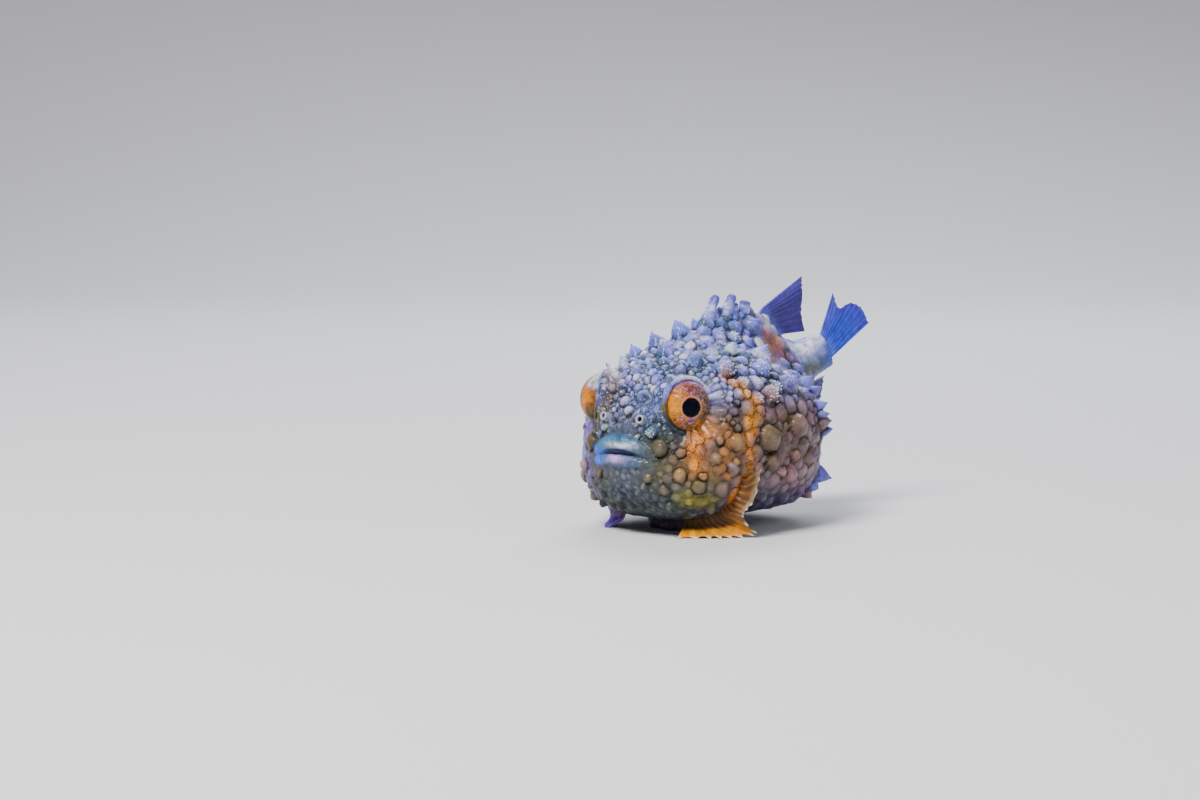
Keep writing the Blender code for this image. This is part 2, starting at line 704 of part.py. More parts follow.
def tubercles_between(start, stop):
    """Closed tubercles of one length of the body, with those that reach well over its cuts."""
    sites, foot, way = tubercle_sites()
    reach = sites[:, 2] * TUBERCLE_SHARED
    between = (sites[:, 0] > start - reach) & (sites[:, 0] < stop + reach)
    return [tubercle(p, w, r, h) for p, w, r, h in zip(foot[between], way[between], *sites[between, 2:].T)]


def beyond(s, onward):
    """A block that fills all that lies past the flat cut at s, towards the tail or the snout."""
    side, up, ahead = axis_frame(s)
    far = ahead * (CUTTER_SIZE if onward else -CUTTER_SIZE)
    square = [side * a + up * b for a, b in ((-1, -1), (1, -1), (1, 1), (-1, 1))]
    near = axis_point(s) + np.stack(square) * CUTTER_SIZE
    return loft("beyond", np.stack([near, near + far]))


def build_disc():
    """The sucker: a thick scalloped pad, its rim a flat ring on the floor, with small pads in its hollow."""
    sides = DISC_LOBES * 4
    angle = np.arange(sides) * 2 * math.pi / sides
    scallop = 1 + DISC_SCALLOP * np.cos(angle * DISC_LOBES)
    rows = []
    for radius, height, wave in DISC_PROFILE:
        reach = radius * (scallop if wave else 1.0)
        rows.append(np.stack([reach * np.cos(angle), DISC_Y + reach * np.sin(angle), 0 * angle + height], -1))
    node = loft("sucker_disc", np.stack(rows), (0, DISC_Y, DISC_THICK), (0, DISC_Y, DISC_HOLLOW))
    pads = []
    for turn in (np.arange(DISC_PADS) + 0.5) * 2 * math.pi / DISC_PADS:
        centre = (DISC_PAD_RING * math.cos(turn), DISC_Y + DISC_PAD_RING * math.sin(turn), DISC_HOLLOW - 0.1)
        pads.append(ball("pad", centre, DISC_PAD_SIZE, sides=6, rows=3))
    return paint(fuse(node, pads), (0.5, 0.45, 0.5), 0.5)


def build_torso():
    torso = body_length("torso", HEAD_CUT - OVERRUN, TAIL_CUT + OVERRUN, 16)
    cuts = [beyond(HEAD_CUT + GAP / 2, False), beyond(TAIL_CUT - GAP / 2, True)]
    return paint(fuse(torso, tubercles_between(HEAD_CUT, TAIL_CUT), cuts), (0.42, 0.38, 0.5), 0.5)


def build_tail():
    tail = body_length("tail", TAIL_CUT - OVERRUN, TAIL_END, 6)
    cuts = [beyond(TAIL_CUT + GAP / 2, False)]
    return paint(fuse(tail, tubercles_between(TAIL_CUT, TAIL_END), cuts), (0.45, 0.42, 0.4), 0.5)


def build_head():
    """The head: eye sockets with lids, the mouth between its lip grooves, nostrils, gill flaps, tubercles."""
    head = body_length("head", SNOUT, HEAD_CUT + OVERRUN, 13, nose=True)
    pieces = tubercles_between(SNOUT, HEAD_CUT)
    cuts = [beyond(HEAD_CUT - GAP / 2, True), ball("slit", MOUTH_CENTRE, MOUTH_SIZE, sides=14, rows=6)]
    socket = EYE_RADIUS + GAP
    rim = (ORBIT_RADIUS ** 2 - socket ** 2 - ORBIT_SINK ** 2) / (2 * ORBIT_SINK)
    rim_radius = math.sqrt(socket ** 2 - rim ** 2)
    for side in (-1, 1):
        centre, way = eye_centre(side), eye_axis(side)
        pieces.append(ball("orbit", centre - way * ORBIT_SINK, ORBIT_RADIUS, sides=18, rows=10, axis=way))
        pieces.append(hoop("lid", centre + way * rim, way, rim_radius, LID_THICK))
        cuts.append(ball("socket", centre, socket, sides=18, rows=9, axis=way))
        foot, way = nostril_way(side)
        stalk = foot + way * np.array([[-0.6], [0.0], [NOSTRIL_RISE]])
        pieces.append(tube("nostril", stalk, (NOSTRIL_RADIUS, NOSTRIL_RADIUS, NOSTRIL_RADIUS * 0.8), sides=8))
        bore = foot + way * np.array([[0.1], [NOSTRIL_RISE + 0.3]])
        cuts.append(tube("bore", bore, (NOSTRIL_BORE, NOSTRIL_BORE), sides=6))
        edge, way = gill_path(side)
        thick = GILL_THICK * np.sin(np.linspace(0.35, math.pi - 0.35, len(edge)))
        pieces.append(tube("flap", edge + way * GILL_LIFT, thick, sides=6, guide=(1, 0, 0)))
        behind, way = gill_path(side, GILL_THICK)
        slit = np.full(len(behind), GILL_SLIT)
        cuts.append(tube("gill", behind, slit, sides=6, guide=(1, 0, 0)))
    for shape in (UPPER_LIP, LOWER_LIP):
        path, radius = lip_path(shape)
        cuts.append(tube("groove", path, radius + GAP, sides=10))
    return paint(fuse(head, pieces, cuts), (0.42, 0.45, 0.62), 0.5)


def stand_on_origin(nodes):
    """Hang every node from one empty, which puts the world's origin under the middle of the fish."""
    corners = np.array([vertex.co for node in nodes for vertex in node.data.vertices])
    middle = (corners.min(0) + corners.max(0)) / 2
    fish = bpy.data.objects.new("fish", None)
    fish.location = (-middle[0], -middle[1], 0.0)
    bpy.context.scene.collection.objects.link(fish)
    for node in nodes:
        node.parent = fish


def build():
    for thing in list(bpy.data.objects):
        bpy.data.objects.remove(thing)
    stand_on_origin([
        build_head(),
        build_torso(),
        build_tail(),
        build_eye("eye_left", 1),
        build_eye("eye_right", -1),
        build_lip("lip_upper", UPPER_LIP, (0.3, 0.5, 0.75)),
        build_lip("lip_lower", LOWER_LIP, (0.5, 0.5, 0.75)),
        build_tail_fin(),
        build_soft_dorsal(),
        build_spiny_dorsal(),
        build_anal_fin(),
        build_breast_fin("pectoral_fin_left", 1),
        build_breast_fin("pectoral_fin_right", -1),
        build_disc(),
    ])


build()
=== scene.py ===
"""Looks of the spiny lumpsucker: one knobbly skin, its prickles, lids, nostrils, eyes, rayed fins and sucker.

Shapes are worked out in millimetres in the fish's own frame: the snout points to -Y, the left flank is
+X and the floor is z = 0. place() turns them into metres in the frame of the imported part.
"""

import math

import bpy
import numpy as np
from mathutils import Matrix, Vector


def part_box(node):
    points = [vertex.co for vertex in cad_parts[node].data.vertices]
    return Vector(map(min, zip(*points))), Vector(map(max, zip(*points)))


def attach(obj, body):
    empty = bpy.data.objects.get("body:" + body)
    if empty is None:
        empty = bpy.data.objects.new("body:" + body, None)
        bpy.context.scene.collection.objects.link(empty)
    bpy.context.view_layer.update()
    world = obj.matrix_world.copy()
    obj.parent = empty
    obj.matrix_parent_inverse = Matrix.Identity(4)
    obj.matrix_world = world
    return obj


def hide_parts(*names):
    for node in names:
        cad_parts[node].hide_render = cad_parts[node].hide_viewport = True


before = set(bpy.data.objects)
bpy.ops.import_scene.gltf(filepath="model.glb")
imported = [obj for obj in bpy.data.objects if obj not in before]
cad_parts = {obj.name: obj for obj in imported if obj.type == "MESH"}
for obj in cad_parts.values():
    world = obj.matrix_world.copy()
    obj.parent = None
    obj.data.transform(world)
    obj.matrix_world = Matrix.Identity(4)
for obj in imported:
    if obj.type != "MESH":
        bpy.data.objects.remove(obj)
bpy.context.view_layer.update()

MM = 0.001
GAP = 0.3
SIDES = (-1, 1)
# A reach far below any surface, for points that a ball or a tube does not cover
NOWHERE = -9.0

# Body: one column for each station from the snout to the root of the tail fin
STATION = (-21.5, -17.0, -11.0, -4.0, 4.0, 11.0, 15.0, 18.5, 21.5, 24.0, 27.5)
AXIS_HEIGHT = (13.4, 14.0, 14.6, 15.0, 15.2, 15.8, 17.3, 20.5, 24.0, 25.8, 27.1)
HALF_WIDTH = (12.0, 14.0, 16.0, 16.9, 16.8, 15.2, 12.4, 8.2, 4.3, 2.9, 2.2)
RISE = (12.4, 13.3, 14.6, 15.8, 14.6, 11.6, 9.2, 7.8, 4.9, 3.7, 3.1)
DROP = (10.0, 11.6, 12.4, 12.9, 13.0, 13.5, 13.9, 12.8, 6.0, 3.4, 2.8)
CREST = (0.0, 0.0, 0.0, 1.4, 4.2, 7.6, 7.9, 5.1, 1.4, 0.0, 0.0)
CREST_HALF_WIDTH = 3.9
TILT_DEG = (0.0, 0.0, 0.0, 0.0, 0.0, 0.0, 5.0, 12.0, 20.0, 22.0, 20.0)
TAIL_SWING = 2.6
SWING_FROM = 13.0
NOSE_ROUND = 10.5
NOSE_POWER = 2.4
BACK_POWER = 2.0
BELLY_POWER = 3.0
SNOUT = STATION[0]
TAIL_END = STATION[-1]
BELLY = 2.6

# Sucker disc
DISC_Y = -3.2
DISC_LOBES = 12
DISC_SCALLOP = 0.04
DISC_PROFILE = ((0.1, 2.3, 0), (6.4, 2.3, 0), (7.1, 1.6, 1), (7.4, 0.8, 1), (7.1, 0.03, 1), (5.4, 0.03, 0),
                (4.9, 0.9, 0), (2.4, 1.1, 0), (0.1, 1.1, 0))
PAPILLA_RADIUS = 0.42
# Radius of each ring of papillae, and how many stand in it
PAPILLA_RINGS = ((1.2, 8), (2.2, 14), (3.5, 24), (4.6, 34), (6.2, 52))

# Eyes, orbits and lids
EYE_AT = (8.15, -15.6, 21.6)
EYE_RADIUS = 4.5
EYE_OUT = math.radians(68.0)
EYE_UP = math.radians(6.0)
GAZE_OUT = math.radians(62.0)
GAZE_UP = math.radians(1.5)
ORBIT_RADIUS = 5.1
ORBIT_SINK = 0.8
LID_THICK = 0.38
# Turn of a lid's opening away from the snout, and the cosine of its half angle: left, then right
LID_OUT = {1: math.radians(73.0), -1: math.radians(56.0)}
LID_COSINE = {1: 0.34, -1: 0.24}
IRIS_RADIUS = 4.22
PUPIL_RADIUS = 1.62
PUPIL_TURN = math.asin(PUPIL_RADIUS / IRIS_RADIUS)

# Mouth
MOUTH_HALF = 5.7
MOUTH_FRONT = -21.7
MOUTH_SWEEP = 1.5
UPPER_LIP = {"mid_z": 15.7, "end_z": 13.8, "mid_r": 1.25, "end_r": 0.6}
LOWER_LIP = {"mid_z": 12.6, "end_z": 12.2, "mid_r": 0.95, "end_r": 0.55}
LIPS = (UPPER_LIP, LOWER_LIP)
MOUTH_Z = 13.72
MOUTH_OPEN = 3.5
MOUTH_TOP = 0.85
MOUTH_BOTTOM = 0.24
MOUTH_DEEP = 0.8

# Hollow between eye and mouth corner, deeper on the right
CHEEK_HOLLOW = (11.6, -17.2, 16.8)
HOLLOW_RADIUS = 3.0
HOLLOW_DEEP = {1: 0.6, -1: 1.6}

# Nostrils and gill flaps
NOSTRIL_S = -20.4
NOSTRIL_ANGLE = math.radians(57.0)
NOSTRIL_RADIUS = 0.78
NOSTRIL_RISE = 1.0
# Radius, height, paleness and share of the bore's colour along a nostril's profile; the bore's colour is a dark
# violet painted shade
NOSTRIL_PROFILE = ((1.5, -0.5, 0.0, 0.0), (1.15, 0.0, 0.1, 0.0), (0.92, 0.35, 0.35, 0.0), (0.84, 0.8, 0.6, 0.0),
                   (0.9, 1.0, 0.8, 0.0), (0.78, 1.1, 0.9, 0.0), (0.6, 1.02, 0.7, 0.2), (0.5, 0.8, 0.35, 0.7),
                   (0.46, 0.4, 0.1, 1.0), (0.4, 0.1, 0.0, 1.0))
GILL_S = -9.9
GILL_FROM = math.radians(-8.0)
GILL_TO = math.radians(16.0)
GILL_THICK = 0.62
GILL_SLIT = 0.34

# Tubercles
SEED = 11
TUBERCLE_TRIES = 5000
TUBERCLE_AT = (-21.5, -16.0, -8.0, 2.0, 13.0, 20.0, 27.5)
TUBERCLE_RADIUS = (0.85, 1.15, 1.6, 1.95, 1.8, 1.25, 0.95)
TUBERCLE_CHIN = 0.7
TUBERCLE_ROOM = 1.46
OWN_ROOM = 0.8
# Room that tubercles leave round nostrils, fins and the first back fin
NOSTRIL_CLEAR = 1.25
FIN_CLEAR = 0.85
SPINY_CLEAR = 1.7
# Station, angle in degrees, radius, height and finish of each large tubercle
LARGE_TUBERCLES = (
    (-4.0, 3.5, 2.3, 1.6, "olive"),
    (3.5, 8.5, 2.1, 1.9, "mauve"),
    (-1.2, 29.5, 1.7, 1.4, "pink"),
    (-11.2, 5.0, 1.5, 1.1, "tan"),
    (-11.9, -6.5, 1.25, 0.9, "grey"),
    (-14.5, -1.5, 1.25, 0.9, "mauve"),
    (-20.0, -20.5, 1.0, 0.7, "tan"),
    (-18.6, -12.0, 1.3, 0.9, "tan"),
    (-19.4, -39.5, 0.95, 0.6, "olive"),
    (-18.0, -24.0, 1.2, 0.7, "olive"),
    (-16.4, -21.5, 1.2, 0.7, "olive"),
    (-14.4, -18.5, 1.2, 0.7, "tan"),
    (-13.8, 66.0, 1.2, 1.0, "teal"),
    (-11.8, 55.0, 1.9, 1.5, "teal"),
    (-7.3, 52.5, 2.0, 1.5, "teal"),
    (2.9, 22.0, 1.7, 1.5, "mauve"),
    (0.3, 47.5, 1.8, 1.6, "lavender"),
    (-6.1, 18.5, 1.6, 1.1, "grey"),
    (14.6, -32.0, 1.7, 2.6, "lavender"),
    (13.0, 4.0, 1.8, 1.6, "mauve"),
    (11.5, 40.0, 1.6, 2.0, "lavender"),
    (4.0, 62.0, 1.9, 1.9, "lavender"),
)
# Knobs of the render alone: station, angle, radius, height, 0 for a dome to 1 for a spine, and finish
FLANK_KNOBS = (
    (-20.1, 10.5, 1.45, 0.9, 0.0, "olive"),
    (-20.7, -36.0, 0.8, 0.5, 0.0, "tan"),
    (-18.6, 2.5, 0.9, 0.45, 0.0, "olive"),
    (-11.3, -3.5, 0.8, 0.6, 0.0, "tan"),
    (-13.9, 8.5, 0.8, 0.35, 0.0, "olive"),
    (-12.9, 17.5, 0.9, 0.4, 0.0, "olive"),
    (-10.6, 13.5, 0.8, 0.4, 0.0, "grey"),
    (-16.1, -11.0, 0.8, 0.45, 0.0, "tan"),
    (-3.4, -6.0, 1.5, 1.2, 0.0, "olive"),
    (-0.5, -13.0, 1.0, 0.7, 0.0, "pink"),
    (2.7, -5.0, 1.1, 0.9, 0.0, "mauve"),
    (15.6, 26.0, 1.3, 1.9, 1.0, "lavender"),
    (12.4, 19.0, 1.2, 1.8, 1.0, "lavender"),
    (12.2, 11.0, 1.1, 1.6, 1.0, "lavender"),
    (13.6, -1.0, 1.3, 2.0, 1.0, "lavender"),
    (12.2, -36.0, 1.1, 1.4, 0.6, "lavender"),
    (11.6, -44.0, 1.1, 1.4, 0.8, "pink"),
    (-12.2, 30.0, 0.7, 0.5, 0.0, "grey"),
    (-9.6, 36.0, 0.6, 0.4, 0.0, "lavender"),
    (-12.8, 21.0, 0.6, 0.4, 0.0, "olive"),
    (-11.2, 17.5, 0.55, 0.35, 0.0, "olive"),
    (-9.2, 29.0, 0.6, 0.4, 0.0, "grey"),
    (-10.4, 24.0, 0.75, 0.45, 0.0, "grey"),
    (-7.4, 80.0, 1.1, 0.9, 0.5, "pale"),
    (-10.8, 75.0, 0.9, 0.7, 0.5, "pale"),
    (2.4, 77.0, 1.4, 1.1, 0.3, "teal"),
    (-2.0, 66.0, 1.4, 1.2, 0.6, "pale"),
    (8.8, 74.0, 1.5, 1.1, 0.2, "pale"),
)
MIDDLE_KNOBS = (
    (-12.5, 127.5, 1.2, 1.7, 1.0, "pale"),
    (-11.3, 120.0, 1.0, 1.4, 1.0, "pale"),
    (-8.6, 117.5, 1.4, 2.1, 1.0, "lavender"),
    (-6.1, 108.5, 1.7, 2.4, 1.0, "lavender"),
    (-3.8, 97.0, 1.8, 2.6, 1.0, "lavender"),
    (-1.0, 94.0, 1.2, 1.6, 1.0, "lavender"),
    (-20.3, 84.0, 0.85, 0.75, 0.1, "pale"),
    (-19.7, 95.0, 0.8, 0.7, 0.1, "pale"),
    (-21.1, 44.5, 0.6, 0.55, 0.7, "pale"),
    (-20.4, 33.5, 1.15, 0.8, 0.3, "teal"),
    (-20.8, 135.0, 0.8, 0.6, 0.5, "pale"),
    (-20.7, 150.0, 0.7, 0.5, 0.5, "lavender"),
    (-20.2, 108.0, 0.55, 0.4, 0.2, "pale"),
    (-18.9, 101.0, 0.7, 0.4, 0.2, "olive"),
    (-18.2, 113.0, 0.8, 0.4, 0.1, "olive"),
)
# Pits beside the nostrils: station, angle, radius and depth; the skin in them is darkened as painted shade
SNOUT_PITS = ((-20.75, 62.0, 0.8, 0.7), (-20.8, 111.0, 0.75, 0.65), (-19.9, 43.0, 0.5, 0.4), (-19.6, 114.0, 0.5, 0.4),
              (-18.9, 71.0, 0.45, 0.35), (-19.2, 101.0, 0.45, 0.35))
# Share of a knob's radius at which its outline runs
KNOB_RIM = 0.99
# Cobbles that fill in between the tubercles
COBBLE_SEED = 5
COBBLE_TRIES = 16000
COBBLE_SHARE = (0.3, 0.72)
COBBLE_ROOM = 0.94
EYE_COBBLE_TRIES = 5000
EYE_COBBLE_RADIUS = (0.26, 0.62)
EYE_COBBLE_ROOM = 0.9
BARE_FROM = 15.0
BARE_TO = 18.5

# Fins
TAIL_RAYS = 11
TAIL_FIN_LOW = math.radians(34.0)
TAIL_FIN_HIGH = math.radians(69.0)
TAIL_FIN_YAW = math.radians(13.0)
TAIL_FIN_AT = (0.0, 0.25, 0.5, 0.72, 1.0)
TAIL_FIN_LENGTH = (11.6, 11.6, 10.4, 7.6, 8.6)
TAIL_FIN_ROOT = 2.1
SOFT_DORSAL_RAYS = 10
SOFT_DORSAL = {"start": 14.6, "stop": 21.0, "angle": math.pi / 2, "at": (0.0, 0.35, 0.7, 1.0),
               "rise_deg": (24.5, 17.0, 8.0, 1.0), "length": (13.4, 11.4, 8.9, 7.0)}
SPINY_DORSAL_RAYS = 6
SPINY_DORSAL = {"start": 0.5, "stop": 10.5, "angle": math.pi / 2, "at": (0.0, 0.2, 0.5, 0.8, 1.0),
                "rise_deg": (84.0, 76.0, 64.0, 52.0, 44.0), "length": (1.2, 3.2, 3.4, 2.6, 1.2)}
# Fingers of the first back fin: foot along and up, tip along and up, lean aside, radius at foot and tip
FINGERS = (
    (-0.7, 32.4, 2.5, 38.1, 0.1, 1.35, 0.68),
    (3.7, 33.2, 6.5, 38.0, 0.4, 1.3, 0.74),
    (6.6, 33.6, 7.7, 36.6, -0.3, 1.1, 0.6),
    (9.2, 33.8, 9.9, 36.9, 0.3, 0.95, 0.85),
    (1.4, 32.6, 4.6, 35.8, -0.7, 1.0, 0.5),
)
ANAL_RAYS = 9
ANAL = {"start": 18.8, "stop": 23.2, "angle": -math.pi / 2, "at": (0.0, 0.5, 1.0),
        "rise_deg": (-4.0, 6.0, 14.0), "length": (4.6, 5.6, 5.2)}
BREAST_RAYS = 16
BREAST_HALF_ROOT = 0.55
BREAST_ROOT_AT = (0.0, 0.15, 0.3, 0.5, 0.75, 1.0)
BREAST_ROOT_S = (-12.8, -12.3, -11.6, -10.8, -10.1, -9.8)
BREAST_ROOT_DEG = (-74.0, -67.0, -59.0, -48.0, -33.0, -14.0)
LEFT_TIP_AT = (0.0, 0.15, 0.3, 0.45, 0.53, 0.6, 0.68, 0.75, 0.82, 0.9, 1.0)
LEFT_TIPS = (
    (9.2, 12.4, 14.8, 16.8, 16.6, 16.4, 16.9, 17.2, 17.5, 17.7, 17.8),
    (-15.6, -12.8, -9.6, -6.8, -9.0, -10.0, -10.3, -9.8, -8.9, -7.8, -7.3),
    (0.0, 0.0, 0.0, 0.6, 2.2, 3.8, 4.4, 5.1, 6.0, 8.8, 11.3),
)
RIGHT_TIP_AT = (0.0, 0.15, 0.3, 0.45, 0.62, 0.78, 1.0)
RIGHT_TIPS = (
    (9.2, 11.8, 13.6, 15.2, 16.0, 16.6, 17.0),
    (-15.0, -12.0, -8.6, -5.2, -3.8, -3.2, -3.0),
    (0.0, 0.0, 0.0, 0.4, 3.0, 5.6, 9.4),
)

# Sheet of each fin: rays, rows, points to a ray, half thickness of the membrane, rise of the rays, depth
# of the root in the body, and notch between rays at the first ray and at the last
TAIL_SHEET = (TAIL_RAYS, 60, 12, 0.13, 0.12, 0.9, (0.015, 0.015))
SOFT_DORSAL_SHEET = (SOFT_DORSAL_RAYS, 50, 12, 0.14, 0.08, 1.2, (0.01, 0.01))
ANAL_SHEET = (ANAL_RAYS, 40, 12, 0.1, 0.18, 1.2, (0.06, 0.06))
BREAST_SHEET = (BREAST_RAYS, 50, 10, 0.14, 0.22, 1.7, (0.16, 0.05))
# Sheets of the fins: how much they thin outwards, how narrow the rays are, the length of a ray's joints,
# and how far the membrane waves
FIN_TAPER = 0.6
RAY_NARROW = 2.5
RAY_JOINT = 0.55
WEB_WAVE = 0.12

# Ranges of height over which the skin changes, from none to all of it
COOL_BACK = (19.0, 24.0)
LOW_FLANK = (22.0, 18.0)
CHIN_DOWN = (14.0, 11.0)

# Relief of the skin: how far knobs are bent out of round, and the depths and widths of its furrows
KNOB_WARP = 0.28
RIM_WIDTH = 0.16
RIM_DEEP = 0.24
CREASE_WIDTH = 0.13
SLIT_DEEP = 0.42
# Strength, size and seed of each noise of the fine roughness
ROUGHNESS = ((0.06, 0.45, 1), (0.08, 1.1, 2))

# Skin grid: rings and points in a ring, with rings closer together on the head
SKIN_ROWS = 226
SKIN_COLUMNS = 438
HEAD_BACK = -8.0
HEAD_DENSITY = 1.5
GIRTH_AT = -4.0
SKIN_PROBES = np.radians((10.0, 50.0, 130.0, 170.0, -40.0, 220.0))

# Numbers of points round small forms
CONE_SIDES = 6
CONE_POINTS = 2 * CONE_SIDES + 2
LID_TURNS = 160
LID_SIDES = 16
NOSTRIL_SIDES = 32
FINGER_ROWS, FINGER_SIDES = 40, 36
IRIS_GRID = (130, 180)
CORNEA_GRID = (48, 64)
DISC_ROWS, DISC_COLUMNS = 72, 192

# Lights: azimuth, rise, distance, size, power and colour
LIGHTS = {
    "key": (5.0, 52.0, 620.0, 220.0, 5.8, (1.0, 0.98, 0.95)),
    "fill": (95.0, 30.0, 650.0, 400.0, 0.9, (0.92, 0.95, 1.0)),
    "rim": (215.0, 45.0, 620.0, 380.0, 3.2, (0.9, 0.93, 1.0)),
}
AIR_COLOUR = (0.8, 0.83, 0.9, 1.0)
AIR_STRENGTH = 0.14

# Camera: the photograph's viewing angle, 6 of its pixels to a millimetre at the fish
VIEW_AZIMUTH = math.radians(40.0)
VIEW_RISE = math.radians(6.0)
VIEW_DISTANCE = 550.0
VIEW_MIDDLE = (0.0, 0.0, 20.7)
VIEW_ASIDE = -17.67
VIEW_WIDTH = 200.0
SENSOR = 36.0

disc_low, disc_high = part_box("sucker_disc")
SHIFT = np.array([(disc_low.x + disc_high.x) / 2 / MM, (disc_low.y + disc_high.y) / 2 / MM - DISC_Y, 0.0])


# Body shape

def smooth(knots, values, at):
    """Monotone cubic through the knots, so that a profile never swells between two stations."""
    knots, values, at = (np.asarray(each, float) for each in (knots, values, at))
    step = np.diff(knots)
    slope = np.diff(values) / step
    before, after = slope[:-1], slope[1:]
    near, far = 2 * step[1:] + step[:-1], step[1:] + 2 * step[:-1]
    same = before * after > 0
    safe_before, safe_after = np.where(same, before, 1.0), np.where(same, after, 1.0)
    inner = np.where(same, (near + far) / (near / safe_before + far / safe_after), 0.0)
    rate = np.concatenate([slope[:1], inner, slope[-1:]])
    i = np.clip(np.searchsorted(knots, at) - 1, 0, len(step) - 1)
    t = (at - knots[i]) / step[i]
    one, two = t * t * (3 - 2 * t), t * (1 - t)
    bend = step[i] * two * (rate[i] * (1 - t) - rate[i + 1] * t)
    return values[i] + one * (values[i + 1] - values[i]) + bend


def ramp(low, high, at):
    """0 below low, 1 above high, a smooth step between; low may be the larger of the two."""
    t = np.clip((np.asarray(at, float) - low) / (high - low), 0.0, 1.0)
    return t * t * (3 - 2 * t)


def bell(at, width):
    """1 at 0, falling off on both sides over the width."""
    return np.exp(-(at / width) ** 2)


def unit(vectors):
    """Each vector divided by its length."""
    return vectors / np.maximum(np.linalg.norm(vectors, axis=-1, keepdims=True), 1e-9)


def axis_point(s):
    """The back-bone: straight in plan up to SWING_FROM, then swinging to the fish's left."""
    s = np.asarray(s, float)
    swing = TAIL_SWING * np.clip((s - SWING_FROM) / (TAIL_END - SWING_FROM), 0.0, None) ** 2
    return np.stack([swing, s, smooth(STATION, AXIS_HEIGHT, s)], -1)


def axis_frame(s):
    """Side, up and forward directions of the section at s: upright at the trunk, tilted at the tail."""
    s = np.asarray(s, float)
    yaw = np.arctan(2 * TAIL_SWING * np.clip(s - SWING_FROM, 0.0, None) / (TAIL_END - SWING_FROM) ** 2)
    tilt = np.radians(smooth(STATION, TILT_DEG, s))
    side = np.stack([np.cos(yaw), -np.sin(yaw), 0 * s], -1)
    ahead = np.stack([np.sin(yaw) * np.cos(tilt), np.cos(yaw) * np.cos(tilt), np.sin(tilt)], -1)
    return side, np.cross(side, ahead), ahead


def nose_share(s):
    """Share of the full section that the rounding of the nose leaves at station s."""
    t = np.clip((np.asarray(s, float) - SNOUT) / NOSE_ROUND, 0.0, 1.0)
    return (1 - (1 - t) ** NOSE_POWER) ** (1 / NOSE_POWER)


def body_point(s, angle):
    """The body: a superellipse at station s, angle 0 at the left flank and 90 degrees on the back, with
    a bell-shaped crest on its upper half, a rounded nose and an underside flat at BELLY."""
    s, angle = np.broadcast_arrays(np.asarray(s, float), np.asarray(angle, float))
    full = nose_share(s)
    across, height = np.cos(angle), np.sin(angle)
    power = np.where(height > 0, 2 / BACK_POWER, 2 / BELLY_POWER)
    x = smooth(STATION, HALF_WIDTH, s) * full * np.sign(across) * np.abs(across) ** power
    reach = np.where(height > 0, smooth(STATION, RISE, s), smooth(STATION, DROP, s)) * full
    z = reach * np.sign(height) * np.abs(height) ** power
    ridge = smooth(STATION, CREST, s) * bell(x, CREST_HALF_WIDTH)
    z = z + ridge * np.clip(height, 0, None)
    side, up, _ = axis_frame(s)
    point = axis_point(s) + side * x[..., None] + up * z[..., None]
    point[..., 2] = np.maximum(point[..., 2], BELLY)
    return point


def body_normal(s, angle):
    """Outward normal of the body, from small steps along and around it."""
    s, angle = np.broadcast_arrays(np.asarray(s, float), np.asarray(angle, float))
    s = np.clip(s, SNOUT + 0.3, TAIL_END)
    along = body_point(s + 0.1, angle) - body_point(s - 0.1, angle)
    around = body_point(s, angle + 0.02) - body_point(s, angle - 0.02)
    return unit(np.cross(along, around))


def mirror(side):
    """Factors that carry a point of the left side over to the given side."""
    return np.array([side, 1, 1])


def heading(azimuth, rise):
    """The direction at a turn from straight ahead towards +X and a rise above the level."""
    return np.array([math.sin(azimuth) * math.cos(rise), -math.cos(azimuth) * math.cos(rise), math.sin(rise)])


def eye_axis(side, out=EYE_OUT, rise=EYE_UP):
    """A direction out, a little ahead and a little up, on the given side."""
    return mirror(side) * heading(out, rise)


def lid_axis(side):
    """The direction that the opening of a lid faces."""
    return eye_axis(side, LID_OUT[side])


def eye_centre(side):
    """The middle of an eyeball."""
    return mirror(side) * EYE_AT


def from_eye(points, side):
    """Offsets of points from an eye's centre, their lengths, and the cosines of their turns off the
    direction that the lid's opening faces."""
    away = points - eye_centre(side)
    far = np.linalg.norm(away, axis=-1)
    return away, far, away @ lid_axis(side) / far


def eye_distance(points):
    """Distance of each point from the centre of the nearer eye."""
    return np.min([np.linalg.norm(points - eye_centre(side), axis=-1) for side in SIDES], axis=0)


def lip_path(shape, count=13):
    """The middle line of a lip, bowed round the front of the snout, and its radius."""
    t = np.linspace(-1, 1, count)
    x = MOUTH_HALF * np.sin(t * math.pi / 2)
    y = MOUTH_FRONT + MOUTH_SWEEP * (x / MOUTH_HALF) ** 2
    z = shape["end_z"] + (shape["mid_z"] - shape["end_z"]) * (1 - (x / MOUTH_HALF) ** 2)
    radius = shape["end_r"] + (shape["mid_r"] - shape["end_r"]) * np.sqrt(np.clip(1 - t * t, 0, 1))
    return np.stack([x, y, z], -1), radius


def gill_path(side, ahead=0.0, count=9):
    """The edge of a gill flap on the body."""
    angle = np.linspace(GILL_FROM, GILL_TO, count)
    return body_point(np.full_like(angle, GILL_S + ahead), angle) * mirror(side)


def nostril_way(side):
    """Foot and direction of a nostril tube."""
    return (body_point(NOSTRIL_S, NOSTRIL_ANGLE) * mirror(side),
            body_normal(NOSTRIL_S, NOSTRIL_ANGLE) * mirror(side))


# Fin shapes

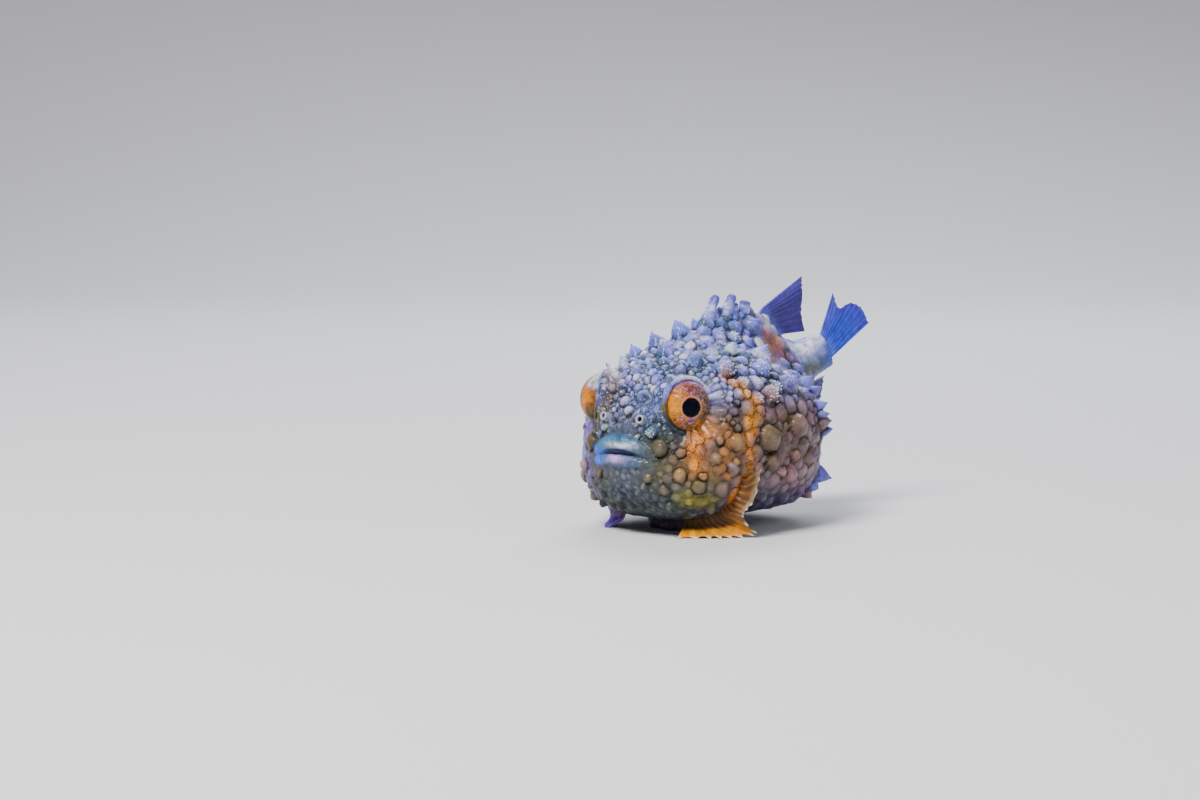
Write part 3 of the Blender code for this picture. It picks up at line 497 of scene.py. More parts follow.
def fan(root, tip, rays, v, web, ridge, notch, taper=0.5, per_ray=2, narrow=1.0):
    """Middle grid and half thickness of a rayed fin between its root line and its free edge, with 1 on
    each ray falling to 0 half way to the next. notch is the share of a ray's length by which the edge
    falls back between rays, at the fin's first ray and at its last."""
    u = np.linspace(0, 1, (rays - 1) * per_ray + 1)
    on_ray = (np.cos(np.pi * u * (rays - 1)) ** 2) ** narrow
    start, end = root(u), tip(u)
    first, last = notch
    end = start + (end - start) * (1 - (first + (last - first) * ramp(0.4, 0.6, u)) * (1 - on_ray))[:, None]
    middle = start[None] + (end - start)[None] * v[:, None, None]
    half = (web + ridge * on_ray[None, :]) * (1 - taper * np.clip(v, 0, 1)[:, None])
    return middle, half, on_ray


def sweep(start, rise, length, yaw=0.0):
    """Ray tips from their roots, a rise angle, a length and a heading aside."""
    way = np.stack([np.cos(rise) * math.sin(yaw), np.cos(rise) * math.cos(yaw), np.sin(rise)], -1)
    return start + way * length[:, None]


def tail_fin_lines():
    """Root and tip lines of the tail fin, whose rays fan up and back."""
    end = axis_point(TAIL_END + GAP)
    _, up, _ = axis_frame(TAIL_END)

    def root(u):
        return end + up * ((u - 0.5) * 2 * TAIL_FIN_ROOT)[:, None]

    def tip(u):
        rise = TAIL_FIN_LOW + (TAIL_FIN_HIGH - TAIL_FIN_LOW) * u
        return sweep(root(u), rise, smooth(TAIL_FIN_AT, TAIL_FIN_LENGTH, u), TAIL_FIN_YAW)

    return root, tip


def midline_fin(start, stop, angle, at, rise_deg, length):
    """Root and tip lines of a fin on the back (angle 90 degrees) or the belly: the root follows the
    middle of the body GAP off it, and rise and length of the rays are given at some shares of it."""

    def root(u):
        s = start + (stop - start) * u
        around = np.full_like(s, angle)
        return body_point(s, around) + body_normal(s, around) * GAP

    def tip(u):
        return sweep(root(u), np.radians(smooth(at, rise_deg, u)), smooth(at, length, u))

    return root, tip


def breast_fin_lines(side):
    """Root down the flank and forward under the cheek; front rays on the floor, upper ones on the flank."""
    tip_at, tips = (LEFT_TIP_AT, LEFT_TIPS) if side > 0 else (RIGHT_TIP_AT, RIGHT_TIPS)

    def root(u):
        s = smooth(BREAST_ROOT_AT, BREAST_ROOT_S, u)
        around = np.radians(smooth(BREAST_ROOT_AT, BREAST_ROOT_DEG, u))
        return (body_point(s, around) + body_normal(s, around) * (GAP + BREAST_HALF_ROOT)) * mirror(side)

    def tip(u):
        return np.stack([smooth(tip_at, each, u) for each in tips], -1) * mirror(side)

    return root, tip


def near_breast_lines():
    """The left breast fin with its foremost rays laid a little further ahead on the floor."""
    root, tip = breast_fin_lines(1)

    def ahead(u):
        return tip(u) + np.array([-1.2, -1.1, 0.0]) * (ramp(0.14, 0.0, u) ** 2)[:, None]

    return root, ahead


def fin_points(lines, rays, rows, notch=(0.06, 0.06)):
    """Points spread over a fin, on its rays and half way between them."""
    return fan(*lines, rays, np.linspace(0, 1, rows), 0, 0, notch)[0].reshape(-1, 3)


# Where tubercles and cobbles grow

def keep_clear():
    """Points that no tubercle comes near, each group with its own reach."""
    zones = [(lip_path(shape)[0], shape["mid_r"] + 0.6) for shape in LIPS]
    for side in SIDES:
        zones += [(eye_centre(side)[None], ORBIT_RADIUS - 1.0), (nostril_way(side)[0][None], NOSTRIL_CLEAR),
                  (gill_path(side, GILL_THICK), GILL_SLIT + 0.1),
                  (fin_points(breast_fin_lines(side), BREAST_RAYS, 16), FIN_CLEAR)]
    for lines, rays in ((midline_fin(**SOFT_DORSAL), SOFT_DORSAL_RAYS), (midline_fin(**ANAL), ANAL_RAYS),
                        (tail_fin_lines(), TAIL_RAYS)):
        zones.append((fin_points(lines, rays, 12), FIN_CLEAR))
    return zones + [(fin_points(midline_fin(**SPINY_DORSAL), SPINY_DORSAL_RAYS, 9, (0.35, 0.35)), SPINY_CLEAR)]


def tubercle_sites():
    """Stations, angles, radii and heights of the tubercles: the large ones, mirrored to both flanks, then
    random ones kept where they touch none of the earlier ones."""
    draw = np.random.default_rng(SEED)
    s = draw.uniform(SNOUT + 0.6, TAIL_END - 1.4, TUBERCLE_TRIES)
    angle = draw.uniform(-math.pi / 2, 3 * math.pi / 2, TUBERCLE_TRIES)
    radius = smooth(TUBERCLE_AT, TUBERCLE_RADIUS, s) * draw.uniform(0.78, 1.15, TUBERCLE_TRIES)
    radius *= np.where(np.sin(angle) < -0.5, TUBERCLE_CHIN, 1.0)
    height = radius * draw.uniform(0.85, 1.2, TUBERCLE_TRIES)
    large = np.array([each[:4] for each in LARGE_TUBERCLES])
    large[:, 1] = np.radians(large[:, 1])
    mirrored = large * np.array([1, -1, 1, 1]) + np.array([0, math.pi, 0, 0])
    sites = np.concatenate([large, mirrored, np.stack([s, angle, radius, height], -1)])
    foot, way = body_point(sites[:, 0], sites[:, 1]), body_normal(sites[:, 0], sites[:, 1])
    point = foot + way * sites[:, 3:]
    free = foot[:, 2] - sites[:, 2] > BELLY + 1.0
    for group, reach in keep_clear():
        for where, room in ((foot, reach + sites[:, 2]), (point, reach + 0.3)):
            free &= distance_to(where, group) > room
    kept = np.array(packed(foot, sites[:, 2], np.flatnonzero(free), TUBERCLE_ROOM))
    names = np.array([each[4] for each in LARGE_TUBERCLES] * 2 + [""] * TUBERCLE_TRIES)
    return sites[kept], foot[kept], sharpness(sites[:, 0], sites[:, 1])[kept], names[kept]


def packed(foot, radius, order, room, kept=()):
    """Indices that are kept when each, in turn, stays off all that were kept before it."""
    kept = list(kept)
    for i in order:
        apart = np.linalg.norm(foot[kept] - foot[i], axis=-1)
        if np.all(apart > room * (radius[kept] + radius[i])):
            kept.append(i)
    return kept


def own_knobs():
    """The knobs of the render alone: those of the flank on both sides, then those of the middle."""
    flank = [each[:5] for each in FLANK_KNOBS]
    mirrored = [(s, 180.0 - degrees, radius, height, sharp) for s, degrees, radius, height, sharp in flank]
    rows = np.array(flank + mirrored + [each[:5] for each in MIDDLE_KNOBS])
    rows[:, 1] = np.radians(rows[:, 1])
    names = [each[5] for each in FLANK_KNOBS] * 2 + [each[5] for each in MIDDLE_KNOBS]
    return rows[:, :4], body_point(rows[:, 0], rows[:, 1]), rows[:, 4], np.array(names)


def off_face(foot, radius, lip_share=1.0):
    """True for knobs that stand clear of the nostrils by their radius and of the lips by a share of it."""
    free = np.ones(len(foot), bool)
    for shape in LIPS:
        free &= distance_to(foot, lip_path(shape)[0]) > shape["mid_r"] + radius * lip_share
    for side in SIDES:
        free &= np.linalg.norm(foot - nostril_way(side)[0], axis=-1) > NOSTRIL_RADIUS + radius
    return free


def cobble_sites():
    """Stations, angles, radii and heights of low cobbles, largest first, wherever the body is free."""
    draw = np.random.default_rng(COBBLE_SEED)
    s = draw.uniform(SNOUT + 0.05, TAIL_END - 0.4, COBBLE_TRIES)
    angle = draw.uniform(-math.pi / 2, 3 * math.pi / 2, COBBLE_TRIES)
    share = np.sort(draw.uniform(*COBBLE_SHARE, COBBLE_TRIES))[::-1]
    radius = smooth(TUBERCLE_AT, TUBERCLE_RADIUS, s) * share
    sharp, foot = sharpness(s, angle), body_point(s, angle)
    brow = ramp(-11.0, -15.0, s) * ramp(16.0, 18.0, foot[:, 2])
    low = ramp(*LOW_FLANK, foot[:, 2])
    chin = ramp(*CHIN_DOWN, foot[:, 2]) * ramp(-9.0, -13.0, s)
    height = radius * draw.uniform(0.3, 0.5, COBBLE_TRIES) * (0.7 + 0.8 * sharp + 0.7 * brow)
    height *= (1 - 0.45 * low) * (1 - 0.45 * chin)
    free = (foot[:, 2] > BELLY + 0.7) & off_face(foot, radius, 0.7)
    return np.stack([s, angle, radius, height], -1), foot, sharp, free


def all_knobs():
    """The render's own knobs, the tubercles that they leave room for, and cobbles that fill in between
    them: station, angle, radius and height, foot, direction, sharpness and finish. They are lower where
    the skin is bare, and small or left out close to the lids, where eye cobbles take their place."""
    own, own_foot, own_sharp, own_names = own_knobs()
    sites, foot, sharp, names = tubercle_sites()
    room = np.linalg.norm(foot[:, None] - own_foot[None], axis=-1) > OWN_ROOM * (sites[:, 2:3] + own[None, :, 2])
    kept = (names != "") | room.all(1)
    more, more_foot, more_sharp, free = cobble_sites()
    sites = np.concatenate([own, sites[kept], more])
    foot = np.concatenate([own_foot, foot[kept], more_foot])
    count = len(own) + kept.sum()
    chosen = np.array(packed(foot, sites[:, 2], np.flatnonzero(free) + count, COBBLE_ROOM, range(count)))
    sites, foot = sites[chosen], foot[chosen]
    sharp = np.concatenate([own_sharp, sharp[kept], more_sharp])[chosen]
    names = np.concatenate([own_names, names[kept], np.full(COBBLE_TRIES, "")])[chosen]
    sites[:, 3] *= 1 - 0.9 * bareness(foot)
    sites[:, 3] *= 1 - 0.3 * ramp(*LOW_FLANK, foot[:, 2]) * (names == "") * (sites[:, 2] > 0.9)
    foot = carrier(sites[:, 0], sites[:, 1])[0]
    clear = np.ones(len(sites), bool)
    for side in SIDES:
        away, far, turn = from_eye(foot, side)
        small_enough = (far > 5.6 + 0.6 * sites[:, 2]) & ((far > 7.4) | (sites[:, 2] < 0.78))
        clear &= (turn < LID_COSINE[side] - 0.1) | small_enough
        clear &= (away[:, 1] < 0.8) | (far > 8.4) | (names != "")
    more = eye_cobbles(foot[clear], sites[clear, 2])
    sites = np.concatenate([sites[clear], more])
    return (sites, carrier(sites[:, 0], sites[:, 1])[0], carrier_normal(sites[:, 0], sites[:, 1]),
            np.append(sharp[clear], 0.15 + 0 * more[:, 0]), np.append(names[clear], np.full(len(more), "")))


def eye_cobbles(foot, radius):
    """Small cobbles that fill the skin left open round each eye by the given knobs."""
    draw = np.random.default_rng(COBBLE_SEED + 1)
    s, angle = draw.uniform(-20.5, -5.0, EYE_COBBLE_TRIES), draw.uniform(0.0, math.pi, EYE_COBBLE_TRIES)
    size = np.sort(draw.uniform(*EYE_COBBLE_RADIUS, EYE_COBBLE_TRIES))[::-1]
    more = carrier(s, angle)[0]
    far = eye_distance(more)
    free = (far > 5.05 + 0.5 * size) & (far < 9.0) & off_face(more, size)
    count = len(foot)
    chosen = packed(np.concatenate([foot, more]), np.concatenate([radius, size]), np.flatnonzero(free) + count,
                    EYE_COBBLE_ROOM, range(count))
    return np.stack([s, angle, size, 0.5 * size], -1)[np.array(chosen[count:]) - count]


# Fields on the skin

def noise(points, size, seed):
    """Smooth value noise from -1 to 1: random numbers on a lattice of the given size, blended by a cubic."""
    grid = points / size + 1000.0
    cell = np.floor(grid).astype(np.int64)
    t = grid - cell
    t = t * t * (3 - 2 * t)
    total = np.zeros(len(points))
    for corner in np.ndindex(2, 2, 2):
        c = cell + np.array(corner)
        mixed = (c[:, 0] * 73856093) ^ (c[:, 1] * 19349663) ^ (c[:, 2] * 83492791) ^ (seed * 265443576)
        mixed = ((mixed ^ (mixed >> 13)) * 1274126177) & 0x7FFFFFFF
        value = ((mixed ^ (mixed >> 15)) & 0xFFFF) / 32767.5 - 1
        total += value * np.prod(np.where(corner, t, 1 - t), axis=1)
    return total


def noises(points, size, seeds):
    """Three noises side by side, to push points about."""
    return np.stack([noise(points, size, seed) for seed in seeds], -1)


def octaves(points, *parts):
    """A sum of noises, each given by its strength, size and seed."""
    return sum(strength * noise(points, size, seed) for strength, size, seed in parts)


def nearest_knobs(points, feet, radius, batch=4096):
    """For each point, the knob that it lies on or nearest to, its distance in shares of the knob's
    radius, and the same for the next knob; worked out a batch of points at a time."""
    first = np.empty(len(points), int)
    near, after = np.empty(len(points)), np.empty(len(points))
    for start in range(0, len(points), batch):
        here = slice(start, start + batch)
        part = points[here]
        square = (part ** 2).sum(1)[:, None] + (feet ** 2).sum(1)[None] - 2 * part @ feet.T
        share = np.sqrt(np.maximum(square, 0)) / radius[None]
        rows, first[here] = np.arange(len(part)), share.argmin(1)
        near[here] = share[rows, first[here]]
        share[rows, first[here]] = np.inf
        after[here] = share.min(1)
    return first, near, after


def sphere_reach(points, normals, centre, radius):
    """How far along its normal each point must go to stand on a ball, or NOWHERE."""
    away = points - centre
    along = (away * normals).sum(-1)
    inside = along ** 2 - (away ** 2).sum(-1) + radius ** 2
    return np.where(inside > 0, -along + np.sqrt(np.maximum(inside, 0)), NOWHERE)


def tube_reach(points, normals, path, radius):
    """How far along its normal each point must go to stand on a round tube along a path."""
    reach = np.full(len(points), NOWHERE)
    for centre, size in zip(path, radius):
        reach = np.maximum(reach, sphere_reach(points, normals, centre, size))
    return reach


def soft_max(a, b, width):
    """The larger of two heights, with the crease between them filled over the given width."""
    return 0.5 * (a + b + np.sqrt((a - b) ** 2 + width ** 2)) - 0.5 * width * np.exp(-np.abs(a - b) / width)


def distance_to(points, path):
    """Distance from each point to the nearest point of a finely divided path."""
    return np.sqrt(np.min([((points - each) ** 2).sum(-1) for each in path], axis=0))


def finely(path, count=40):
    """A path of a few points, divided into many."""
    path = np.asarray(path, float)
    t = np.linspace(0, len(path) - 1, count)
    return np.stack([np.interp(t, np.arange(len(path)), path[:, axis]) for axis in range(3)], -1)


def sharpness(s, angle):
    """0 where knobs are domes, as on cheeks and chin, 1 where they rise to points, as on back and tail."""
    return np.clip(0.1 + 0.6 * ramp(0.35, 0.9, np.sin(angle)) + 0.8 * ramp(-1.0, 10.0, s), 0, 1)


def knob_height(share, height, sharp):
    """Height of a knob at a share of its radius: a dome, or a cone with a hollow flank where it is sharp."""
    t = np.clip(1 - share, 0, 1)
    dome = np.clip(1 - np.clip(share, 0, 1) ** 2, 0, 1) ** 0.7
    cone = 0.35 * dome + 0.75 * t ** 1.25
    return height * ((1 - sharp) * dome + sharp * cone)


def folded(points):
    """Points with the right side folded over onto the left."""
    return np.concatenate([np.abs(points[:, :1]), points[:, 1:]], 1)


def bareness(points):
    """1 on the smooth root of the tail and on the bare patch ahead of it, 0 on the knobbly skin."""
    patch = ramp(3.9, 2.5, distance_to(folded(points), finely(BARE_PATCH, 24)))
    return np.maximum(patch, ramp(BARE_FROM, BARE_TO, points[:, 1]) * ramp(14.0, 20.0, points[:, 2]))


# Colours

TO_WIDE = np.array([[0.6274, 0.3293, 0.0433], [0.0691, 0.9195, 0.0113], [0.0164, 0.088, 0.8956]])
INSET = np.array([[0.8566, 0.0951, 0.0483], [0.1373, 0.7612, 0.1015], [0.1119, 0.0768, 0.8113]])
OUTSET = np.array([[1.1271, -0.1106, -0.0165], [-0.1413, 1.1578, -0.0165], [-0.1413, -0.1106, 1.2519]])
TONE = (15.5, -40.14, 31.96, -6.868, 0.4298, 0.1191, -0.00232)
DARKEST_STOP = -12.474
STOPS = 16.5
STUDIO_LIGHT = 0.9


def colour(red, green, blue):
    """The surface colour that shows as the given 0 to 255 screen values under the studio light: the tone
    curve of the view, a polynomial of the stops of light between two changes of primaries, undone."""
    c = np.array([red, green, blue]) / 255
    linear = np.where(c <= 0.04045, c / 12.92, ((c + 0.055) / 1.055) ** 2.4)
    t = np.linspace(0, 1, 2001)
    shown = np.linalg.solve(OUTSET, (TO_WIDE @ linear) ** (1 / 2.2))
    stops = np.interp(shown, np.maximum.accumulate(np.polyval(TONE, t)), t)
    light = np.linalg.solve(TO_WIDE, np.linalg.solve(INSET, 2 ** (stops * STOPS + DARKEST_STOP)))
    return np.clip(light / STUDIO_LIGHT, 0.002, 0.92)


LAVENDER = colour(124, 142, 194)
PALE = colour(202, 210, 228)
TEAL = colour(58, 102, 126)
# Dark teal of the painted shade round the eyes and under the lids
DARK_TEAL = colour(22, 44, 54)
# Dark blue of the painted shade between and round the knobs of the back
NAVY = colour(22, 28, 58)
OLIVE = colour(108, 88, 48)
TAN = colour(146, 112, 72)
OLIVE_DULL = colour(72, 74, 52)
AMBER = colour(172, 116, 60)
MAUVE = colour(120, 90, 78)
PINK = colour(158, 122, 120)
GREY = colour(116, 112, 134)
ORANGE = np.array([0.8, 0.25, 0.003])
GOLD = np.array([0.92, 0.38, 0.003])
RUST = np.array([0.33, 0.085, 0.012])
YELLOW_GREEN = np.array([0.25, 0.22, 0.003])
# Dark colours of the underside, partly the skin's own and partly painted shade
CHIN_GREY = colour(30, 46, 50)
SLATE = colour(42, 42, 88)
SPIKE = colour(136, 148, 222)
VIOLET = colour(90, 88, 176)
LIP_BLUE = colour(82, 128, 160)
LIP_PALE = colour(206, 216, 232)
LIP_DEEP = colour(46, 88, 114)
LIP_LAVENDER = colour(184, 172, 206)
LIP_GREY = colour(86, 110, 138)
LIP_CORNER = colour(70, 136, 210)
TAIL_BLUE = np.array([0.01, 0.05, 0.7])
TAIL_OLIVE = colour(100, 104, 70)
# Slate of the mouth's opening: painted shade of its inside
MOUTH_DARK = colour(92, 104, 132)
CLAY = colour(134, 96, 76)
# Dark brown of the painted shade in creases and low by the breast fin, and of the freckles
BROWN_DARK = colour(34, 22, 12)
# Colours of the disc, both darkened as painted shade under the body, the ground between the papillae darkest
DISC_DARK = colour(88, 78, 98)
DISC_PALE = colour(196, 180, 198)
TAIL_FIN_BLUE = np.array([0.01, 0.04, 0.62])
TAIL_FIN_EDGE = np.array([0.03, 0.02, 0.5])
TAIL_FIN_LOBE = np.array([0.1, 0.09, 0.62])
TAIL_FIN_RAY = np.array([0.06, 0.16, 0.9])
TAIL_FIN_FOOT = colour(132, 162, 216)
BACK_FIN_DEEP = np.array([0.035, 0.02, 0.2])
BACK_FIN_FRONT = np.array([0.08, 0.06, 0.5])
BACK_FIN_RAY = np.array([0.12, 0.1, 0.55])
ANAL_FIN_DEEP = np.array([0.05, 0.05, 0.2])
ANAL_FIN_RAY = np.array([0.16, 0.16, 0.42])
BREAST_ORANGE = np.array([0.92, 0.32, 0.003])
BREAST_BROWN = np.array([0.19, 0.085, 0.025])
BREAST_YELLOW = np.array([0.95, 0.5, 0.01])
BREAST_RUST = np.array([0.36, 0.12, 0.01])
BREAST_WEB = colour(92, 52, 26)
BREAST_TAN = colour(152, 138, 112)
# Dull brown of the painted shade at the breast fin's root under the body
BREAST_DULL = colour(66, 46, 24)
BREAST_PALE = colour(222, 204, 190)
FAR_BREAST_FOOT = colour(104, 78, 96)
FAR_BREAST_EDGE = colour(88, 82, 172)
FAR_BREAST_RAY = colour(150, 142, 216)
SHADES = {"olive": OLIVE, "tan": TAN, "mauve": MAUVE, "pink": PINK, "grey": GREY, "teal": TEAL,
          "lavender": LAVENDER, "pale": PALE}

# Markings of one flank, each a path that the colour follows, its half width and its strength; the dark teal by the
# eye and the dark brown low by the breast fin are painted shade
STRIPE = ((11.4, -8.2, 26.4), (13.9, -6.7, 23.4), (15.2, -5.1, 21.9), (15.9, -7.6, 19.0), (16.1, -9.0, 16.0),
          (16.4, -8.4, 11.4), (14.8, -10.0, 7.0))
CHEEK_PATCH = ((13.3, -15.2, 18.0), (12.9, -16.2, 16.8), (11.9, -17.1, 15.0), (12.4, -16.9, 12.0))
BARE_PATCH = ((2.8, 12.6, 31.2), (4.4, 11.8, 29.0), (6.6, 9.8, 27.6), (8.0, 8.6, 26.8))
MARKINGS = (
    (((0.0, -20.2, 21.8), (5.6, -18.8, 21.6)), 2.6, LAVENDER, 0.45),
    (((1.8, -18.6, 23.7), (1.0, -19.3, 22.7), (4.5, -19.4, 21.5)), 1.3, TEAL, 0.75),
    (((4.2, -17.8, 24.1), (5.4, -17.6, 23.8), (8.2, -13.7, 25.9)), 1.0, PALE, 0.7),
    (((0.2, -20.6, 19.8), (2.0, -20.6, 19.2)), 1.0, GREY, 0.6),
    (((4.6, -20.6, 18.6), (7.2, -19.4, 19.4)), 1.3, TEAL, 0.75),
    # Dark teal ahead of and under the eye: painted shade
    (((7.2, -19.4, 21.0), (7.4, -19.6, 17.6), (9.2, -19.0, 16.4)), 1.0, DARK_TEAL, 0.85),
    (((9.2, -18.9, 16.4), (12.0, -17.4, 16.6)), 1.0, DARK_TEAL, 0.7),
    (((6.4, -20.6, 14.8), (7.0, -20.2, 10.4)), 2.2, OLIVE_DULL, 0.85),
    (((3.0, -21.0, 9.6), (7.6, -19.4, 8.0)), 1.6, OLIVE_DULL, 0.6),
    (((9.5, -19.2, 12.4), (12.5, -17.0, 9.8), (14.6, -14.0, 11.5), (15.4, -11.6, 15.5)), 3.2, OLIVE, 0.9),
    (((13.6, -12.4, 20.6), (15.4, -9.0, 20.5)), 2.4, OLIVE, 0.6),
    (((10.4, -17.6, 6.4), (13.2, -14.6, 6.4)), 1.6, YELLOW_GREEN, 0.75),
    # Dark brown low by the breast fin's root, near the floor: painted shade under the body
    (((9.4, -12.7, 3.3), (12.0, -10.0, 3.6)), 2.0, BROWN_DARK, 0.6),
    (((16.9, -2.0, 17.5), (16.8, 5.0, 15.0)), 6.5, MAUVE, 0.75),
    (((16.6, -0.5, 9.8), (16.4, 5.0, 9.0)), 3.0, PINK, 0.3),
    (((16.4, 0.5, 18.6), (16.0, 3.5, 17.6)), 1.6, OLIVE, 0.6),
    (((13.4, -9.8, 5.4), (14.6, -9.6, 8.4), (15.8, -8.4, 11.0)), 1.3, RUST, 0.85),
    (CHEEK_PATCH, 1.65, ORANGE, 0.92),
    (((15.0, -12.6, 17.4), (14.9, -13.0, 12.0)), 1.9, AMBER, 0.6),
    (STRIPE, 1.35, ORANGE, 0.85),
    (STRIPE[:4], 0.7, GOLD, 0.95),
    (((15.8, -11.6, 12.2), (15.4, -12.6, 10.6)), 0.6, GOLD, 0.9),
    (BARE_PATCH, 2.6, CLAY, 0.95),
    (((3.0, 13.8, 30.3), (4.4, 14.7, 28.0), (5.2, 16.6, 25.0)), 1.7, CLAY, 0.9),
    (((3.4, 13.2, 30.4), (4.6, 12.6, 28.6), (6.0, 11.4, 27.4)), 1.3, RUST, 0.25),
    (((0.0, 13.6, 34.4), (1.6, 14.6, 33.6)), 1.8, PALE, 0.6),
    (((5.6, 19.2, 22.0), (5.4, 20.4, 24.4), (3.6, 26.0, 25.6)), 2.2, TAIL_OLIVE, 0.9),
    (((3.4, 18.4, 29.2), (3.4, 21.2, 28.0), (2.6, 27.5, 29.2)), 1.5, PALE, 0.7),
    (((9.6, 5.0, 27.4), (12.4, 7.6, 24.4)), 2.2, PALE, 0.45),
)
# The right side of the snout, seen beyond it in the photo; the lavender and violet along the right cheek's outline
# are painted rim light
FAR_MARKINGS = (
    (((-3.8, -19.1, 22.3), (-5.0, -19.4, 20.0), (-8.0, -19.7, 17.6)), 1.6, OLIVE, 0.85),
    (((-5.6, -18.4, 22.4), (-6.0, -18.8, 21.0)), 0.8, ORANGE, 0.6),
    (((-4.6, -17.4, 25.0), (-6.6, -16.4, 26.4)), 1.5, PINK, 0.6),
    (((-4.6, -17.4, 25.4), (-6.6, -16.0, 26.8)), 1.0, PALE, 0.7),
    # Painted rim light along the right cheek's outline
    (((-11.0, -18.2, 20.0), (-11.6, -17.4, 16.0), (-11.2, -18.2, 11.0)), 2.2, LAVENDER, 0.85),
    (((-13.2, -15.6, 18.5), (-13.6, -15.2, 12.0)), 2.0, LAVENDER, 0.85),
    (((-8.6, -19.4, 11.5), (-8.6, -18.6, 7.0)), 1.8, VIOLET, 0.45),
)


def mix(a, b, share):
    """Colours a and b blended by an array of shares."""
    return a + (b - a) * np.asarray(share)[..., None]


def layered(tint, *coats):
    """A colour with others laid over it in turn, each by its own share."""
    for shade, share in coats:
        tint = mix(tint, shade, share)
    return tint


def banded(at, knots, shades):
    """Colours that run from shade to shade at the given knots."""
    return np.stack([np.interp(at, knots, np.array(shades)[:, k]) for k in range(3)], -1)


def skin_tint(points):
    """Colour of the skin at points in the fish's frame: lavender back, mauve flank and grey-green or slate underside
    grade into one another by height, and each marking fades out from its own path. The lavender top is partly the
    skin's own colour and partly painted light from above, and the dark underside partly painted shade. Also how many
    pale speckles, which are painted glints, and dark freckles the skin has there."""
    height = points[:, 2] + 1.1 * noise(points, 3.2, 3)
    ahead = ramp(-8.0, -17.0, points[:, 1])[:, None]
    # Dark underside and lavender top: partly the skin's own colours, partly painted shade below and painted light
    # from above
    under = CHIN_GREY * ahead + SLATE * (1 - ahead)
    flank = TEAL * ahead * 0.6 + (MAUVE * 0.6 + GREY * 0.4) * (1 - 0.6 * ahead)
    tint = mix(under, flank, ramp(5.0, 11.0, height))
    tint = mix(tint, LAVENDER, ramp(19.0, 26.0, height) * 0.95)
    top = ramp(20.0, 25.0, points[:, 2]) * (1 - 0.8 * bareness(points))
    blotch = octaves(points, (0.6, 2.1, 8), (0.4, 0.9, 9))
    tint = mix(tint, TEAL, ramp(-0.05, 0.3, blotch) * top * 0.85)
    tint = mix(tint, PALE, ramp(0.1, 0.5, -blotch) * top * 0.45)
    tint = mix(tint, TAIL_BLUE, ramp(23.2, 26.0, points[:, 1]) * 0.85)
    wander = 0.5 * noises(points, 1.6, (4, 5, 6))
    warm = np.zeros(len(points))
    for markings, where in ((MARKINGS, folded(points) + wander), (FAR_MARKINGS, points + wander)):
        for path, width, shade, strength in markings:
            fade = bell(distance_to(where, finely(path, 24)), width) * strength
            tint = mix(tint, shade, fade)
            if shade is ORANGE:
                warm = np.maximum(warm, fade)
    # Pale speckles painted as glints, most on the brow and the top
    brow = ramp(17.5, 19.5, points[:, 2]) * ramp(-12.0, -17.0, points[:, 1])
    speckle = 0.04 + 0.8 * brow + 0.45 * top * (1 - brow)
    return tint, speckle, ramp(0.25, 0.7, warm)


def knob_tint(tint, points, first, share, gap):
    """Knobs of a named finish take its colour and every knob is a shade lighter or darker than the next. Painted
    shade darkens each knob low on its side, the skin between the knobs, bluer on the back, and the creases round the
    larger ones, where it is nearly black. The pointed ones pale towards their tops, partly their own pale tips and
    partly a painted highlight that is stronger high on the back."""
    size, dome = SITES[first, 2], ramp(1.15, 0.85, share)
    for name, shade in SHADES.items():
        own = dome * (NAMES[first] == name) * (0.3 + 0.35 * ramp(0.7, 1.3, size))
        tint = mix(tint, shade, own)
    vary = np.random.default_rng(SEED + 4).normal(0, 0.2, (len(SITES), 1))
    blue = np.random.default_rng(SEED + 5).normal(0, 0.06, (len(SITES), 3))
    tint = tint * (1 + (vary + blue)[first] * dome[:, None])
    # Painted shade low on each knob's side
    lower = np.clip(below_foot(points, first), -1, 1)
    tint = tint * (1 - 0.28 * lower * dome * ramp(0.5, 1.2, size))[:, None]
    cool = ramp(*COOL_BACK, FEET[first, 2])
    dark = mix(BROWN_DARK, NAVY, cool)
    coated = 1 - bareness(points)
    # Painted shade in the skin between the knobs, bluer high on the back
    valley = ramp(0.8, 1.2, share) * coated
    tint = mix(tint, mix(tint * 0.55, NAVY, cool * 0.6), valley * (0.55 + 0.4 * cool))
    # Painted shade, nearly black, in the creases and furrows round the larger knobs
    crease = bell(gap - 0.02, 0.17) * ramp(0.4, 0.9, size) * ramp(1.6, 1.2, share)
    tint = mix(tint, dark, crease * 0.9 * coated)
    tint = mix(tint, dark, outline(points, first, share))
    # Pale tops: partly the pointed knobs' own pale tips, partly a painted highlight that is stronger high on the back
    top = bell(share, 0.45) * (0.14 + 0.6 * SHARP[first])
    return mix(tint, mix(PALE, SPIKE, SHARP[first]), top * (0.3 + 0.7 * cool) * (0.15 + 0.85 * coated))


def below_foot(points, first):
    """How far each point lies below the foot of its knob, in shares of the knob's radius."""
    return (FEET[first, 2] - points[:, 2]) / SITES[first, 2]


def outline(points, first, share):
    """1 in the thin furrow round each knob of a named finish, broken here and there and strongest below, falling to 0
    within a fraction of a millimetre; it both sinks the furrow and darkens it as painted shade."""
    ring = bell(share - KNOB_RIM, RIM_WIDTH / SITES[first, 2]) * (NAMES[first] != "")
    return ring * (0.5 + 0.5 * ramp(-0.8, 0.5, below_foot(points, first))) * ramp(-0.45, 0.1, noise(points, 1.3, 71))


